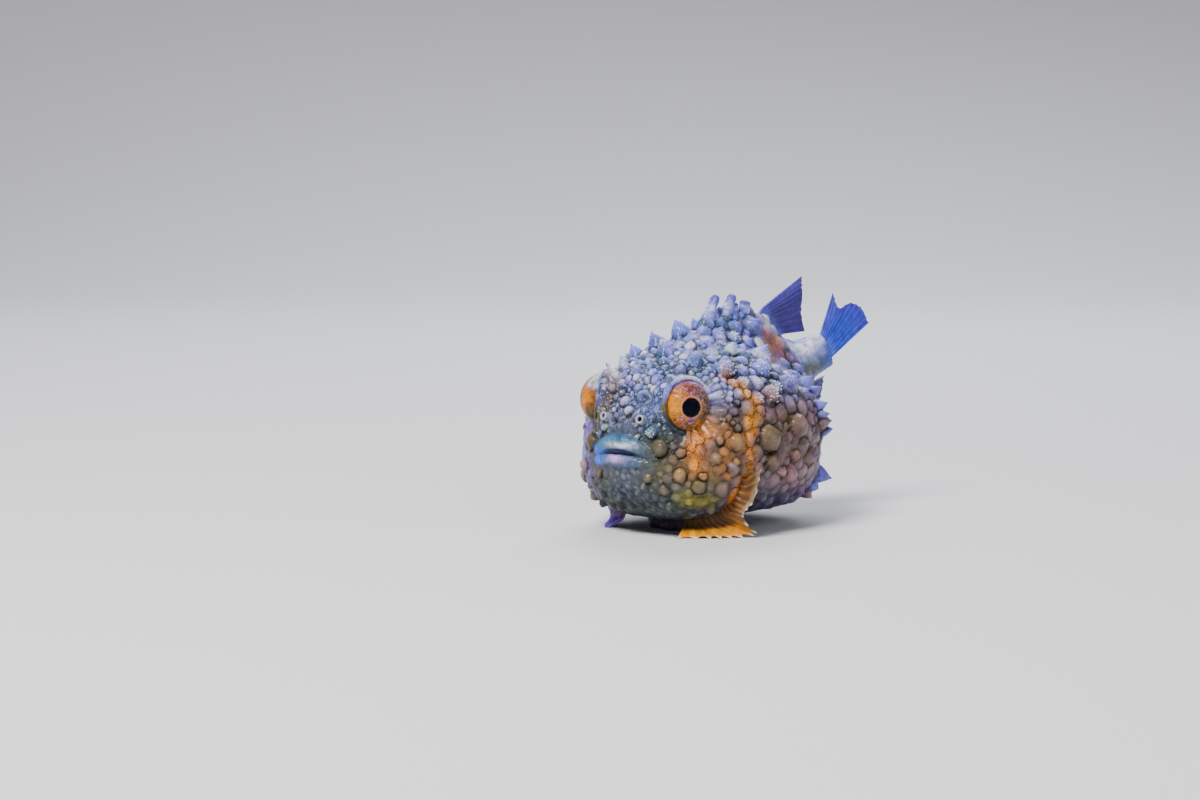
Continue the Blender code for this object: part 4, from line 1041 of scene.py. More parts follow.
def furrows(points, first, share, after):
    """Distance in millimetres from the nearest border of a knob, and how much painted shade darkens that border: the
    rims of knobs with a finish of their own, strongest below, and the creases between all the others."""
    named = NAMES[first] != ""
    rim = np.where(named, np.abs(share - KNOB_RIM), -NOWHERE)
    border = np.minimum(rim, 0.6 * (after - share)) * SITES[first, 2]
    cool = ramp(*COOL_BACK, points[:, 2])
    chin = ramp(*CHIN_DOWN, points[:, 2]) * ramp(-13.0, -17.0, points[:, 1])
    below = ramp(-0.8, 0.5, below_foot(points, first))
    dark = np.where(named, 0.55 + 0.4 * below, (0.35 + 0.4 * cool) * (1 - 0.6 * chin))
    dark = dark * ramp(-0.6, -0.1, noise(points, 1.3, 71)) * ramp(1.6, 1.3, share)
    dark = dark * (0.35 + 0.65 * ramp(5.0, 6.2, eye_distance(points)))
    return np.minimum(border, 1.0), dark * (1 - bareness(points))


# Making meshes

def place(points):
    """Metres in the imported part's frame, from millimetres in the fish's."""
    return (np.asarray(points, float).reshape(-1, 3) + SHIFT) * MM


def make_piece(name, points, faces, tint=None, uv=None, **numbers):
    """A mesh object from points in millimetres and an (n, 3) array of faces, turned to face outwards.

    tint is a linear colour for each point, uv a pair for each point, and numbers are further attributes.
    """
    points = place(points)
    faces = np.asarray(faces)
    a, b, c = (points[faces[:, k]] for k in range(3))
    if (a * np.cross(b, c)).sum() < 0:
        faces = faces[:, ::-1]
    mesh = bpy.data.meshes.new(name)
    mesh.vertices.add(len(points))
    mesh.vertices.foreach_set("co", points.astype(np.float32).ravel())
    mesh.loops.add(faces.size)
    mesh.loops.foreach_set("vertex_index", faces.ravel().astype(np.int32))
    mesh.polygons.add(len(faces))
    mesh.polygons.foreach_set("loop_start", np.arange(len(faces), dtype=np.int32) * 3)
    mesh.update(calc_edges=True)
    mesh.validate()
    if tint is not None:
        layer = mesh.attributes.new("tint", "FLOAT_COLOR", "POINT")
        rgba = np.concatenate([np.clip(tint, 0, 1), np.ones((len(points), 1))], 1)
        layer.data.foreach_set("color", rgba.astype(np.float32).ravel())
    for label, values in numbers.items():
        layer = mesh.attributes.new(label, "FLOAT", "POINT")
        layer.data.foreach_set("value", np.asarray(values, np.float32).ravel())
    if uv is not None:
        layer = mesh.uv_layers.new(name="OFBake")
        layer.data.foreach_set("uv", uv[faces.ravel()].astype(np.float32).ravel())
    mesh.shade_smooth()
    piece = bpy.data.objects.new(name, mesh)
    bpy.context.scene.collection.objects.link(piece)
    return piece


def grid_faces(rows, columns, around=True):
    """Two triangles for each cell of a grid whose columns may close into rings."""
    i, j = np.meshgrid(np.arange(rows - 1), np.arange(columns if around else columns - 1), indexing="ij")
    a = i * columns + j
    d = i * columns + (j + 1) % columns
    b, c = a + columns, d + columns
    return np.stack([a, b, c, a, c, d], -1).reshape(-1, 3)


def capped_grid(rings, start, end):
    """Points and faces of rings of points closed by a point at each end."""
    rows, columns = rings.shape[:2]
    points = np.concatenate([rings.reshape(-1, 3), [start, end]])
    j = np.arange(columns)
    k = (j + 1) % columns
    last = (rows - 1) * columns
    low = np.stack([np.full(columns, rows * columns), j, k], -1)
    high = np.stack([last + j, np.full(columns, rows * columns + 1), last + k], -1)
    return points, np.concatenate([grid_faces(rows, columns), low, high])


def sheet_faces(rows, columns):
    """Faces of a thin closed sheet: its upper grid, its lower grid after it, and the rim between."""
    top = grid_faces(rows, columns, around=False)
    size = rows * columns
    rim = np.concatenate([np.arange(columns), np.arange(1, rows) * columns + columns - 1,
                          (rows - 1) * columns + np.arange(columns - 2, -1, -1),
                          np.arange(rows - 2, 0, -1) * columns])
    after = np.roll(rim, -1)
    side = np.concatenate([np.stack([after, rim, size + rim], -1), np.stack([after, size + rim, size + after], -1)])
    return np.concatenate([top[:, ::-1], size + top, side[:, ::-1]])


def circle(count):
    """Evenly spaced turns once round."""
    return np.arange(count) * 2 * math.pi / count


def spokes(turn, one, two):
    """Directions at the given turns in the plane of two others."""
    return np.cos(turn)[:, None] * one + np.sin(turn)[:, None] * two


def cross_frame(way):
    """Two directions across each given direction."""
    one = unit(np.cross(way, (0.31, 0.23, 0.92)))
    return one, np.cross(way, one)


def cones(foot, way, radius, height):
    """Many closed blunt cones as one mesh: each has a sunk root ring, a shoulder ring and a tip.

    Returns the points, the faces, and for each point its cone and its place across the root.
    """
    angle = circle(CONE_SIDES)
    one, two = cross_frame(way)
    out = spokes(angle, one[:, None], two[:, None])
    base, tip = foot - way * (height * 0.4)[:, None], foot + way * height[:, None]
    low = base[:, None] + out * radius[:, None, None]
    mid = (foot + way * (height * 0.65)[:, None])[:, None] + out * (radius * 0.6)[:, None, None]
    points = np.concatenate([low, mid, tip[:, None], base[:, None]], 1)
    j = np.arange(CONE_SIDES)
    k = (j + 1) % CONE_SIDES
    peak, sole = np.full(CONE_SIDES, CONE_POINTS - 2), np.full(CONE_SIDES, CONE_POINTS - 1)
    wall = ((j, k, CONE_SIDES + k), (j, CONE_SIDES + k, CONE_SIDES + j),
            (CONE_SIDES + j, CONE_SIDES + k, peak), (k, j, sole))
    each = np.concatenate([np.stack(corners, -1) for corners in wall])
    faces = (each[None] + (np.arange(len(foot)) * CONE_POINTS)[:, None, None]).reshape(-1, 3)
    flat = np.stack([np.cos(angle), np.sin(angle)], -1)
    across = np.concatenate([flat, flat * 0.6, np.zeros((2, 2))])
    owner = np.repeat(np.arange(len(foot)), CONE_POINTS)
    return points.reshape(-1, 3), faces, owner, np.tile(across, (len(foot), 1))


def unwrap(s, angle):
    """Place of a point of the skin on a flat map: once round across, snout to tail upwards."""
    return np.stack([np.mod(angle + math.pi / 2, 2 * math.pi) / (2 * math.pi) * 0.96 + 0.02,
                     (s - SNOUT) / (TAIL_END - SNOUT) * 0.96 + 0.02], -1)


# Skin

def skin_grid():
    """Stations and angles of the skin's rings, evenly spaced by length, with more rings on the head."""
    full = np.linspace(0.004, 0.97, 400)
    cap = SNOUT + NOSE_ROUND * (1 - (1 - full ** NOSE_POWER) ** (1 / NOSE_POWER))
    fine = np.concatenate([cap, np.linspace(cap[-1], TAIL_END + 0.6, 900)[1:]])
    probe = body_point(fine[:, None], SKIN_PROBES[None])
    step = np.linalg.norm(np.diff(probe, axis=0), axis=-1).mean(1)
    step *= np.where(fine[1:] < HEAD_BACK, HEAD_DENSITY, 1.0)
    length = np.concatenate([[0], np.cumsum(step)])
    s = np.interp(np.linspace(0, length[-1], SKIN_ROWS), length, fine)
    turn = np.linspace(-math.pi / 2, 1.5 * math.pi, 6001)
    ring = body_point(GIRTH_AT, turn)
    length = np.concatenate([[0], np.cumsum(np.linalg.norm(np.diff(ring, axis=0), axis=-1))])
    angle = np.interp(np.linspace(0, length[-1], SKIN_COLUMNS + 1)[:-1], length, turn)
    s, angle = np.meshgrid(s, angle, indexing="ij")
    return s.ravel(), angle.ravel()


def mouth_middle(x):
    """Height of the line between the lips."""
    return MOUTH_Z - 0.35 * (x / MOUTH_HALF) ** 2


def eased(normal, s, share):
    """Normals turned towards straight ahead near the pole of the nose."""
    near_pole = np.clip(nose_share(s) / share, 0, 1)[:, None]
    return unit(normal * near_pole + np.array([0.0, -1.0, 0.0]) * (1 - near_pole))


def carrier(s, angle):
    """The body raised over its orbits, lips and gill flaps, hollowed at the cheeks and drawn in to a
    collar round each eye: its points, how deep each lies in a lip, and 1 in a gill slit."""
    base = body_point(s, angle)
    normal = eased(body_normal(s, angle), s, 0.33)
    lift = np.zeros(len(s))
    for side in SIDES:
        centre = eye_centre(side) - eye_axis(side) * ORBIT_SINK
        lift = soft_max(lift, sphere_reach(base, normal, centre, ORBIT_RADIUS - 0.1), 1.1)
    lip = np.full(len(s), NOWHERE)
    front = base[:, 1] < -17.0
    for shape in LIPS:
        lip[front] = np.maximum(lip[front], tube_reach(base[front], normal[front], *lip_path(shape, 61)))
    lift = soft_max(lift, lip - 0.08, 0.5)
    slit = np.zeros(len(s))
    thick = GILL_THICK * np.sin(np.linspace(0.35, math.pi - 0.35, 25))
    for side in SIDES:
        lift = soft_max(lift, tube_reach(base, normal, gill_path(side, 0.0, 25), thick) - 0.15, 0.3)
        slit += bell(distance_to(base, gill_path(side, GILL_THICK + 0.25, 25)), GILL_SLIT)
    for side in SIDES:
        middle = mirror(side) * CHEEK_HOLLOW
        lift = lift - HOLLOW_DEEP[side] * np.exp(-((base - middle) ** 2).sum(-1) / HOLLOW_RADIUS ** 2)
    points = base + normal * lift[:, None]
    for side in SIDES:
        away, far, turn = from_eye(points, side)
        collar = EYE_RADIUS + 0.42 + 6.0 * np.maximum(LID_COSINE[side] - turn, 0.0)
        far_to = far + (np.minimum(far, collar) - far) * ramp(7.1, 5.6, far)
        points = eye_centre(side) + away * (far_to / far)[:, None]
    return points, lip, slit


def carrier_normal(s, angle):
    """Outward normal of the carrier, from small steps along and around it."""
    s = np.clip(s, SNOUT + 0.1, TAIL_END)
    along = carrier(s + 0.08, angle)[0] - carrier(s - 0.08, angle)[0]
    around = carrier(s, angle + 0.015)[0] - carrier(s, angle - 0.015)[0]
    return unit(np.cross(along, around))


def grid_normal(rings):
    """Outward normal at each point of a stack of rings."""
    around = np.roll(rings, -1, axis=1) - np.roll(rings, 1, axis=1)
    return unit(np.cross(np.gradient(rings, axis=0), around))


def opened(points):
    """Points pushed in between the lips, with 1 in the middle of the opening."""
    drop = points[:, 2] - mouth_middle(points[:, 0])
    tall = np.where(drop > 0, MOUTH_TOP, MOUTH_BOTTOM)
    mouth = np.sqrt(np.clip(1 - (points[:, 0] / MOUTH_OPEN) ** 2 - (drop / tall) ** 2, 0, 1))
    mouth = mouth * (points[:, 1] < -16)
    return points + mouth[:, None] * np.array([0.0, MOUTH_DEEP, 0.0]), mouth


def tucked(points):
    """Points drawn in under each eyeball inside its lid."""
    for side in SIDES:
        away, far, turn = from_eye(points, side)
        opening = ramp(LID_COSINE[side] - 0.03, LID_COSINE[side] + 0.04, turn) * ramp(6.6, 5.9, far)
        points = eye_centre(side) + away * ((far + (EYE_RADIUS - 1.3 - far) * opening) / far)[:, None]
    return points


def skin_shape(s, angle):
    """The finished skin: the carrier raised by its knobs, creases and fine roughness, sunk at the snout's pits,
    pushed in between the lips and drawn in under each eyeball. Also its colour, with painted shade in the pits, and
    the shares of pale speckles that are painted glints, of freckles and of painted shade in the furrows."""
    base, lip, slit = carrier(s, angle)
    normal = eased(grid_normal(base.reshape(SKIN_ROWS, SKIN_COLUMNS, 3)).reshape(-1, 3), s, 0.25)
    calm = ramp(0.1, 0.9, nearest_knobs(base, FEET, SITES[:, 2])[1])[:, None]
    bent = base + KNOB_WARP * calm * noises(base, 1.5, (61, 62, 63))
    first, share, after = nearest_knobs(bent, FEET, SITES[:, 2])
    gap = np.minimum(after - share, np.abs(share - 1.0) + 0.25)
    bare = ramp(-0.5, 0.0, lip)
    knob = knob_height(share, SITES[first, 3], SHARP[first]) * (1 - bare)
    crease = bell(gap, CREASE_WIDTH) * (0.1 + 0.1 * SITES[first, 2]) * (1 - bare) * (1 - 0.8 * bareness(base))
    crease = crease * ramp(BELLY + 0.2, BELLY + 2.0, base[:, 2]) * ramp(1.6, 1.2, share)
    rim = RIM_DEEP * outline(base, first, share) * (1 - bare)
    lift = knob - crease - rim - SLIT_DEEP * slit + octaves(base, *ROUGHNESS) * (1 - 0.75 * bare)
    lift = lift + bare * 0.08 * noise(base * np.array([3.0, 1.0, 0.5]), 0.5, 7)
    lift = lift * ramp(4.7, 5.5, eye_distance(base))
    hollow = np.zeros(len(s))
    for pit_s, degrees, radius, depth in SNOUT_PITS:
        foot = carrier(np.array([pit_s]), np.radians([degrees]))[0][0]
        dip = np.exp(-(((base - foot) ** 2).sum(-1) / radius ** 2))
        lift = lift - depth * dip
        hollow = np.maximum(hollow, dip)
    points, mouth = opened(base + normal * lift[:, None])
    points = tucked(points)
    points[:, 2] = np.maximum(points[:, 2], BELLY - 0.2)
    tint, speckle, freckle = skin_tint(base)
    # Painted shade in the snout's pits
    tint = knob_tint(tint, base, first, share, gap) * (1 - 0.88 * hollow ** 1.5)[:, None]
    tint = mix(tint, lip_tint(points), ramp(-0.75, 0.35, lip + 0.2 * noise(base, 0.7, 16)))
    # Painted shade inside the mouth's opening
    tint = mix(tint, MOUTH_DARK, ramp(0.05, 0.4, mouth))
    border, furrow = furrows(base, first, share, after)
    return points, tint, {"speckle": speckle * (1 - bare) * (1 - hollow), "freckle": freckle * (1 - bare),
                          "border": border, "furrow": furrow * (1 - bare)}


def lip_tint(points):
    """Lips: a teal-blue upper one with a painted highlight in a pale band above the opening, a thin lower one with a
    lavender-pink top, partly a painted highlight, that turns grey and olive towards the left flank, and a bright blue
    corner on the right, all passing softly into one another."""
    x = points[:, 0] + 0.5 * noise(points, 1.1, 14)
    z = points[:, 2] + 0.25 * noise(points, 0.8, 15)
    upper = mix(LIP_BLUE, LIP_DEEP, ramp(15.6, 16.8, z) * 0.55 + ramp(-1.8, -4.6, x) * 0.45)
    upper = mix(upper, LIP_GREY, ramp(1.2, 3.6, x) * 0.7)
    # Painted highlight in a pale band above the opening
    upper = mix(upper, LIP_PALE, bell(x - 1.0, 2.3) * bell(z - 15.15, 0.5) * 0.95)
    # Lavender-pink top of the lower lip, partly a painted highlight
    lower = mix(LIP_GREY, LIP_LAVENDER, bell(x + 0.7, 1.9) * ramp(11.7, 13.1, z) * 0.85)
    tint = mix(lower, upper, ramp(13.0, 14.0, z))
    tint = mix(tint, LIP_CORNER, ramp(-2.4, -5.6, x) * ramp(15.8, 13.0, z) * 0.9)
    tint = mix(tint, OLIVE_DULL, ramp(3.0, 5.2, x) * 0.75)
    ripple = noise(points * np.array([3.2, 1.0, 0.8]), 0.6, 12)
    return tint * (1 + 0.25 * ripple + 0.2 * noise(points, 0.35, 13))[:, None]


def build_skin():
    """One skin over head, torso, tail and lips, closed at the snout and at the root of the tail fin."""
    s, angle = skin_grid()
    points, tint, masks = skin_shape(s, angle)
    rings = points.reshape(SKIN_ROWS, SKIN_COLUMNS, 3)
    shape, faces = capped_grid(rings, rings[0].mean(0), rings[-1].mean(0))
    tint = np.concatenate([tint, tint[:1], tint[-1:]])
    return make_piece("skin", shape, faces, tint, **{name: np.append(each, [0, 0]) for name, each in masks.items()})


# Prickles

def prickle_roots():
    """Feet, directions, radii and heights of the prickles: one on the top of each crowned or tall pointed knob, and
    crowns of smaller ones round the shoulders of the larger knobs of the back and the snout."""
    draw = np.random.default_rng(SEED + 2)
    crowned = (SITES[:, 1] > 0) & (FEET[:, 2] > 22.0) | (SITES[:, 0] < -18.0) & (FEET[:, 2] > 16.5)
    crowned &= (SITES[:, 0] < 9.0) & (eye_distance(FEET) > 6.9)
    sets = []
    for ring, count, least in ((0.0, 1, 0.55), (0.3, 5, 0.9), (0.55, 8, 1.1), (0.8, 10, 1.5)):
        spiny = (SHARP > 0.62) & (SITES[:, 3] > 0.8) & (ring == 0.0)
        some = np.flatnonzero((SITES[:, 2] > least) & (crowned | spiny))
        pick = np.repeat(some, count)
        turn = np.tile(circle(count), len(some)) + draw.uniform(-0.5, 0.5, len(pick))
        share = ring * draw.uniform(0.8, 1.2, len(pick))
        out = spokes(turn, *cross_frame(WAYS[pick]))
        rise = knob_height(share, SITES[pick, 3], SHARP[pick])
        sink = 0.07 + 0.16 * SITES[pick, 3] * SHARP[pick] * max(1 - 2 * ring, 0)
        foot = FEET[pick] + WAYS[pick] * (rise - sink)[:, None] + out * (share * SITES[pick, 2])[:, None]
        way = unit(WAYS[pick] + out * 0.6 * min(ring * 3, 1) + draw.normal(0, 0.1, (len(pick), 3)))
        size = np.sqrt(SITES[pick, 2]) * draw.uniform(0.7, 1.25, len(pick))
        radius = size * (0.2 if count == 1 else 0.13)
        height = size * ((0.16 + 0.2 * SHARP[pick]) if count == 1 else 0.22)
        sets.append((pick, foot, way, radius, height))
    return [np.concatenate(each) for each in zip(*sets)]


def build_prickles():
    """Thorn-like prickles, in the skin's colour at their roots and paler or bluer towards their tips; the pale tips
    are partly their own colour and partly a painted highlight, stronger higher on the body.
    """
    pick, foot, way, radius, height = prickle_roots()
    points, faces, owner, across = cones(foot, way, radius, height)
    tip = np.tile([0.25] * CONE_SIDES + [0.75] * CONE_SIDES + [1.0, 0.1], len(foot))
    # Pale tips partly a painted highlight, stronger higher on the body
    bright = 0.55 + 0.45 * ramp(10.0, 22.0, foot[:, 2])
    end = mix(PALE, SPIKE, ramp(0.5, 0.8, SHARP[pick]))
    tint = mix(skin_tint(foot)[0][owner] * 0.9, end[owner], tip * bright[owner])
    uv = unwrap(SITES[pick, 0], SITES[pick, 1])[owner] + across * 0.0015
    return make_piece("prickles", points, faces, tint, uv)


# Lids, nostrils and the first back fin

def build_lid(name, side):
    """A wrinkled fleshy rim round the eye: circles across a closed ring, dark teal underneath as painted shade."""
    way = lid_axis(side)
    out = spokes(circle(LID_TURNS), *cross_frame(way[None]))
    socket = EYE_RADIUS + GAP
    along = LID_COSINE[side] * socket
    middle = eye_centre(side) + way * (along - 0.05) + out * math.sqrt(socket ** 2 - along ** 2)
    radius = LID_THICK * (0.8 + 0.2 * side) * (1 + 0.3 * noise(middle, 0.8, 21) + 0.2 * noise(middle, 0.35, 22))
    rings = middle[:, None] + spokes(circle(LID_SIDES), out[:, None], way) * radius[:, None, None]
    points = rings.reshape(-1, 3)
    faces = grid_faces(LID_TURNS + 1, LID_SIDES) % len(points)
    raised = (points - eye_centre(side)) @ np.array([0.0, 0.45, 0.9]) / EYE_RADIUS
    # Dark teal on the lower part of the lid: painted shade
    tint = mix(DARK_TEAL, mix(OLIVE, LAVENDER, ramp(-0.5, 0.2, raised)), ramp(-0.9, -0.35, raised))
    if side < 0:
        tint = mix(tint, skin_tint(points)[0], 0.8 * np.ones(len(points)))
    tint = tint * (1 + 0.45 * noise(points, 0.35, 23))[:, None]
    return make_piece(name, points, faces, mix(tint, PALE, ramp(0.3, 1.0, raised) * 0.5))


def build_nostril(name, side):
    """A short skin tube with a bore: a profile of radius and height turned round its direction, with its paleness and
    how deep it lies in the bore, whose dark violet is painted shade."""
    foot, way = nostril_way(side)
    way = unit(way)
    wide, high, pale, bore = np.array(NOSTRIL_PROFILE).T
    out = spokes(circle(NOSTRIL_SIDES), *cross_frame(way[None]))
    rings = foot + out[None] * (wide * NOSTRIL_RADIUS)[:, None, None] + way * (high * NOSTRIL_RISE)[:, None, None]
    points, faces = capped_grid(rings, foot - way * 0.6, foot + way * 0.05)
    pale, bore = (np.append(np.repeat(each, NOSTRIL_SIDES), end) for each, end in ((pale, (0, 0)), (bore, (0, 1))))
    # Dark violet in the bore: painted shade
    return make_piece(name, points, faces, mix(mix(skin_tint(points)[0], PALE, pale * 0.65), VIOLET * 0.4, bore))


def into_body(root, u):
    """Directions from the roots of a fin's rays into the body, across the line of the roots."""
    along = unit(root(np.clip(u + 0.01, 0, 1)) - root(np.clip(u - 0.01, 0, 1)))
    away = root(u) - axis_point(root(u)[:, 1])
    return -unit(away - along * (away * along).sum(-1, keepdims=True))


def fin_sheet(name, lines, shade, floor, rays, rows, per_ray, web, ridge, depth, notch):
    """A rayed fin: a thin closed sheet whose rays stand out of the membrane, jointed along their length,
    with the membrane waving between them and its root drawn into the body."""
    root, tip = lines
    v = np.linspace(-0.02, 1, rows)
    middle, half, on_ray = fan(root, tip, rays, v, web, ridge, notch, FIN_TAPER, per_ray, RAY_NARROW)
    u = np.linspace(0, 1, middle.shape[1])
    length = np.linalg.norm(tip(u) - root(u), axis=-1)
    pull = np.clip(1 - v / 0.16, 0, 1.3) ** 2
    middle = middle + (into_body(root, u) * depth)[None] * pull[:, None, None]
    normal = unit(np.cross(np.gradient(middle, axis=0), np.gradient(middle, axis=1)))
    u, v, on_ray = np.broadcast_arrays(u[None], v[:, None], on_ray[None])
    joint = np.sin(v * length[None] * 2 * math.pi / RAY_JOINT)
    half = half * (1 + 0.16 * joint * on_ray * (v > 0.25))
    wave = WEB_WAVE * np.sin(v * 5.0 + u * rays * 1.3) * (1 - on_ray) * np.clip(v, 0, 1)
    middle = middle + normal * wave[..., None]
    half = half * np.where(v > 0.96, np.sqrt(np.clip((1.0 - v) / 0.04, 0.05, 1)), 1.0)
    top, under = middle + normal * half[..., None], middle - normal * half[..., None]
    if floor:
        lift = np.maximum(0.02 - np.minimum(top[..., 2], under[..., 2]), 0.0)
        top[..., 2] += lift
        under[..., 2] += lift
    points = np.concatenate([top.reshape(-1, 3), under.reshape(-1, 3)])
    tint = np.tile(shade(u, v, on_ray).reshape(-1, 3), (2, 1))
    veil = np.clip(on_ray * 0.15 + 0.85 + 0.5 * (v < 0.15), 0, 1)
    return make_piece(name, points, sheet_faces(*middle.shape[:2]), tint, veil=np.tile(veil.ravel(), 2))


def tail_fin_shade(u, v, on_ray):
    """Saturated blue, violet at the upper lobe, a little paler along the rays and lavender at the root."""
    return layered(TAIL_FIN_BLUE, (TAIL_FIN_EDGE, ramp(0.5, 1.0, v)), (TAIL_FIN_LOBE, ramp(0.6, 0.95, u) * 0.7),
                   (TAIL_FIN_RAY, on_ray * 0.35), (TAIL_FIN_FOOT, ramp(0.35, 0.0, v) * 0.7))


def back_fin_shade(u, v, on_ray):
    """Blue-violet with slightly paler rays, brightest at its leading edge and its root."""
    return layered(BACK_FIN_DEEP, (BACK_FIN_FRONT, ramp(0.5, 0.0, u)), (BACK_FIN_RAY, on_ray * 0.22),
                   (LAVENDER, ramp(0.25, 0.0, v) * 0.6))


def anal_fin_shade(u, v, on_ray):
    """Blue-purple with paler rays."""
    return mix(ANAL_FIN_DEEP, ANAL_FIN_RAY, on_ray * 0.4)


def near_breast_shade(u, v, on_ray):
    """Painted shade in dull brown at its root under the body, yellow-orange on the floor, streaked rust and tan up
    the flank, with pale ray tips."""
    return layered(BREAST_ORANGE, (BREAST_BROWN, ramp(0.4, 0.56, u)),
                   (BREAST_YELLOW, on_ray * 0.6 * ramp(0.6, 0.35, u)),
                   (BREAST_RUST, on_ray * 0.6 * ramp(0.4, 0.65, u)),
                   (BREAST_WEB, (1 - on_ray) * 0.6 * ramp(0.35, 0.65, u)),
                   (BREAST_TAN, ramp(0.5, 0.7, u) * ramp(0.5, 0.95, v) * 0.75),
                   # Painted shade at the root under the body
                   (BREAST_DULL, ramp(0.6, 0.35, v) * ramp(0.6, 0.45, u) * 0.95),
                   (BREAST_PALE, ramp(0.88, 0.98, v) * on_ray * 0.85))


def far_breast_shade(u, v, on_ray):
    """Dusky at its root, bluish purple at its edge, with paler rays."""
    return layered(FAR_BREAST_FOOT, (FAR_BREAST_EDGE, ramp(0.1, 0.5, v)), (FAR_BREAST_RAY, on_ray * 0.35))


def build_spiny_dorsal():
    """The first back fin: stout knobbly fingers, each a round profile that narrows a little and closes in a
    dome, carried from its foot in the back to its tip."""
    t = np.linspace(0, 1, FINGER_ROWS)
    closing = np.sqrt(np.clip(1 - np.clip((t - 0.86) / 0.14, 0, 0.98) ** 2, 0, 1))
    shapes, joined, start = [], [], 0
    for foot_y, foot_z, tip_y, tip_z, lean, low, high in FINGERS:
        foot, tip = np.array([0.0, foot_y, foot_z]), np.array([lean, tip_y, tip_z])
        out = spokes(circle(FINGER_SIDES), *cross_frame(unit(tip - foot)[None]))
        radius = (low + (high - low) * ramp(0.0, 0.75, t)) * closing
        rings = foot + (tip - foot) * t[:, None, None] + out[None] * radius[:, None, None]
        flat = rings.reshape(-1, 3)
        lump = 0.2 * np.abs(noise(flat, 0.9, 31)) + 0.12 * np.abs(noise(flat, 0.4, 32))
        points, faces = capped_grid(rings + out[None] * lump.reshape(FINGER_ROWS, FINGER_SIDES, 1), foot, tip)
        shapes.append(points)
        joined.append(faces + start)
        start += len(points)
    points, rise = np.concatenate(shapes), np.tile(np.append(np.repeat(t, FINGER_SIDES), [0, 1]), len(FINGERS))
    tint, speckle, freckle = skin_tint(points)
    hollow = np.abs(noise(points, 0.9, 31))
    tint = mix(mix(tint * 0.7, LAVENDER, ramp(0.2, 0.4, rise)), PALE, bell(rise - 0.5, 0.22) * hollow)
    tint = mix(tint, VIOLET * 0.8, ramp(0.6, 0.95, rise) * (0.95 - 0.5 * hollow))
    return make_piece("first_back_fin", points, np.concatenate(joined), tint, speckle=speckle, freckle=freckle)


# Eyes

IRIS_TURN = (-180, -135, -90, -45, 0, 45, 90, 135, 180)
IRIS_SHADE = (
    (0.9, 0.32, 0.003), (0.5, 0.15, 0.008), (0.17, 0.095, 0.02), (0.13, 0.09, 0.03), (0.2, 0.12, 0.04),
    (0.12, 0.1, 0.09), (0.22, 0.03, 0.05), (0.8, 0.24, 0.01), (0.9, 0.32, 0.003))
IRIS_RING = np.array([0.75, 0.25, 0.09])
# Blue of a painted reflection at the pupil's lower edge
IRIS_MARK = colour(96, 104, 190)
IRIS_MAROON = colour(60, 14, 16)
IRIS_PALE = colour(204, 172, 198)
IRIS_FLECK = colour(36, 20, 14)
PUPIL = np.array([0.001, 0.002, 0.008])
# Bands of the far eye's side, by height in shares of its radius; the darker olive below is partly painted shade and
# the pinkish white top partly a painted highlight
FAR_SIDE_AT = (-1.0, -0.35, -0.12, 0.02, 0.3, 0.45, 0.62, 1.0)
FAR_SIDE_SHADE = (OLIVE, OLIVE * 0.7, RUST, ORANGE, ORANGE, PINK, PALE, PALE)


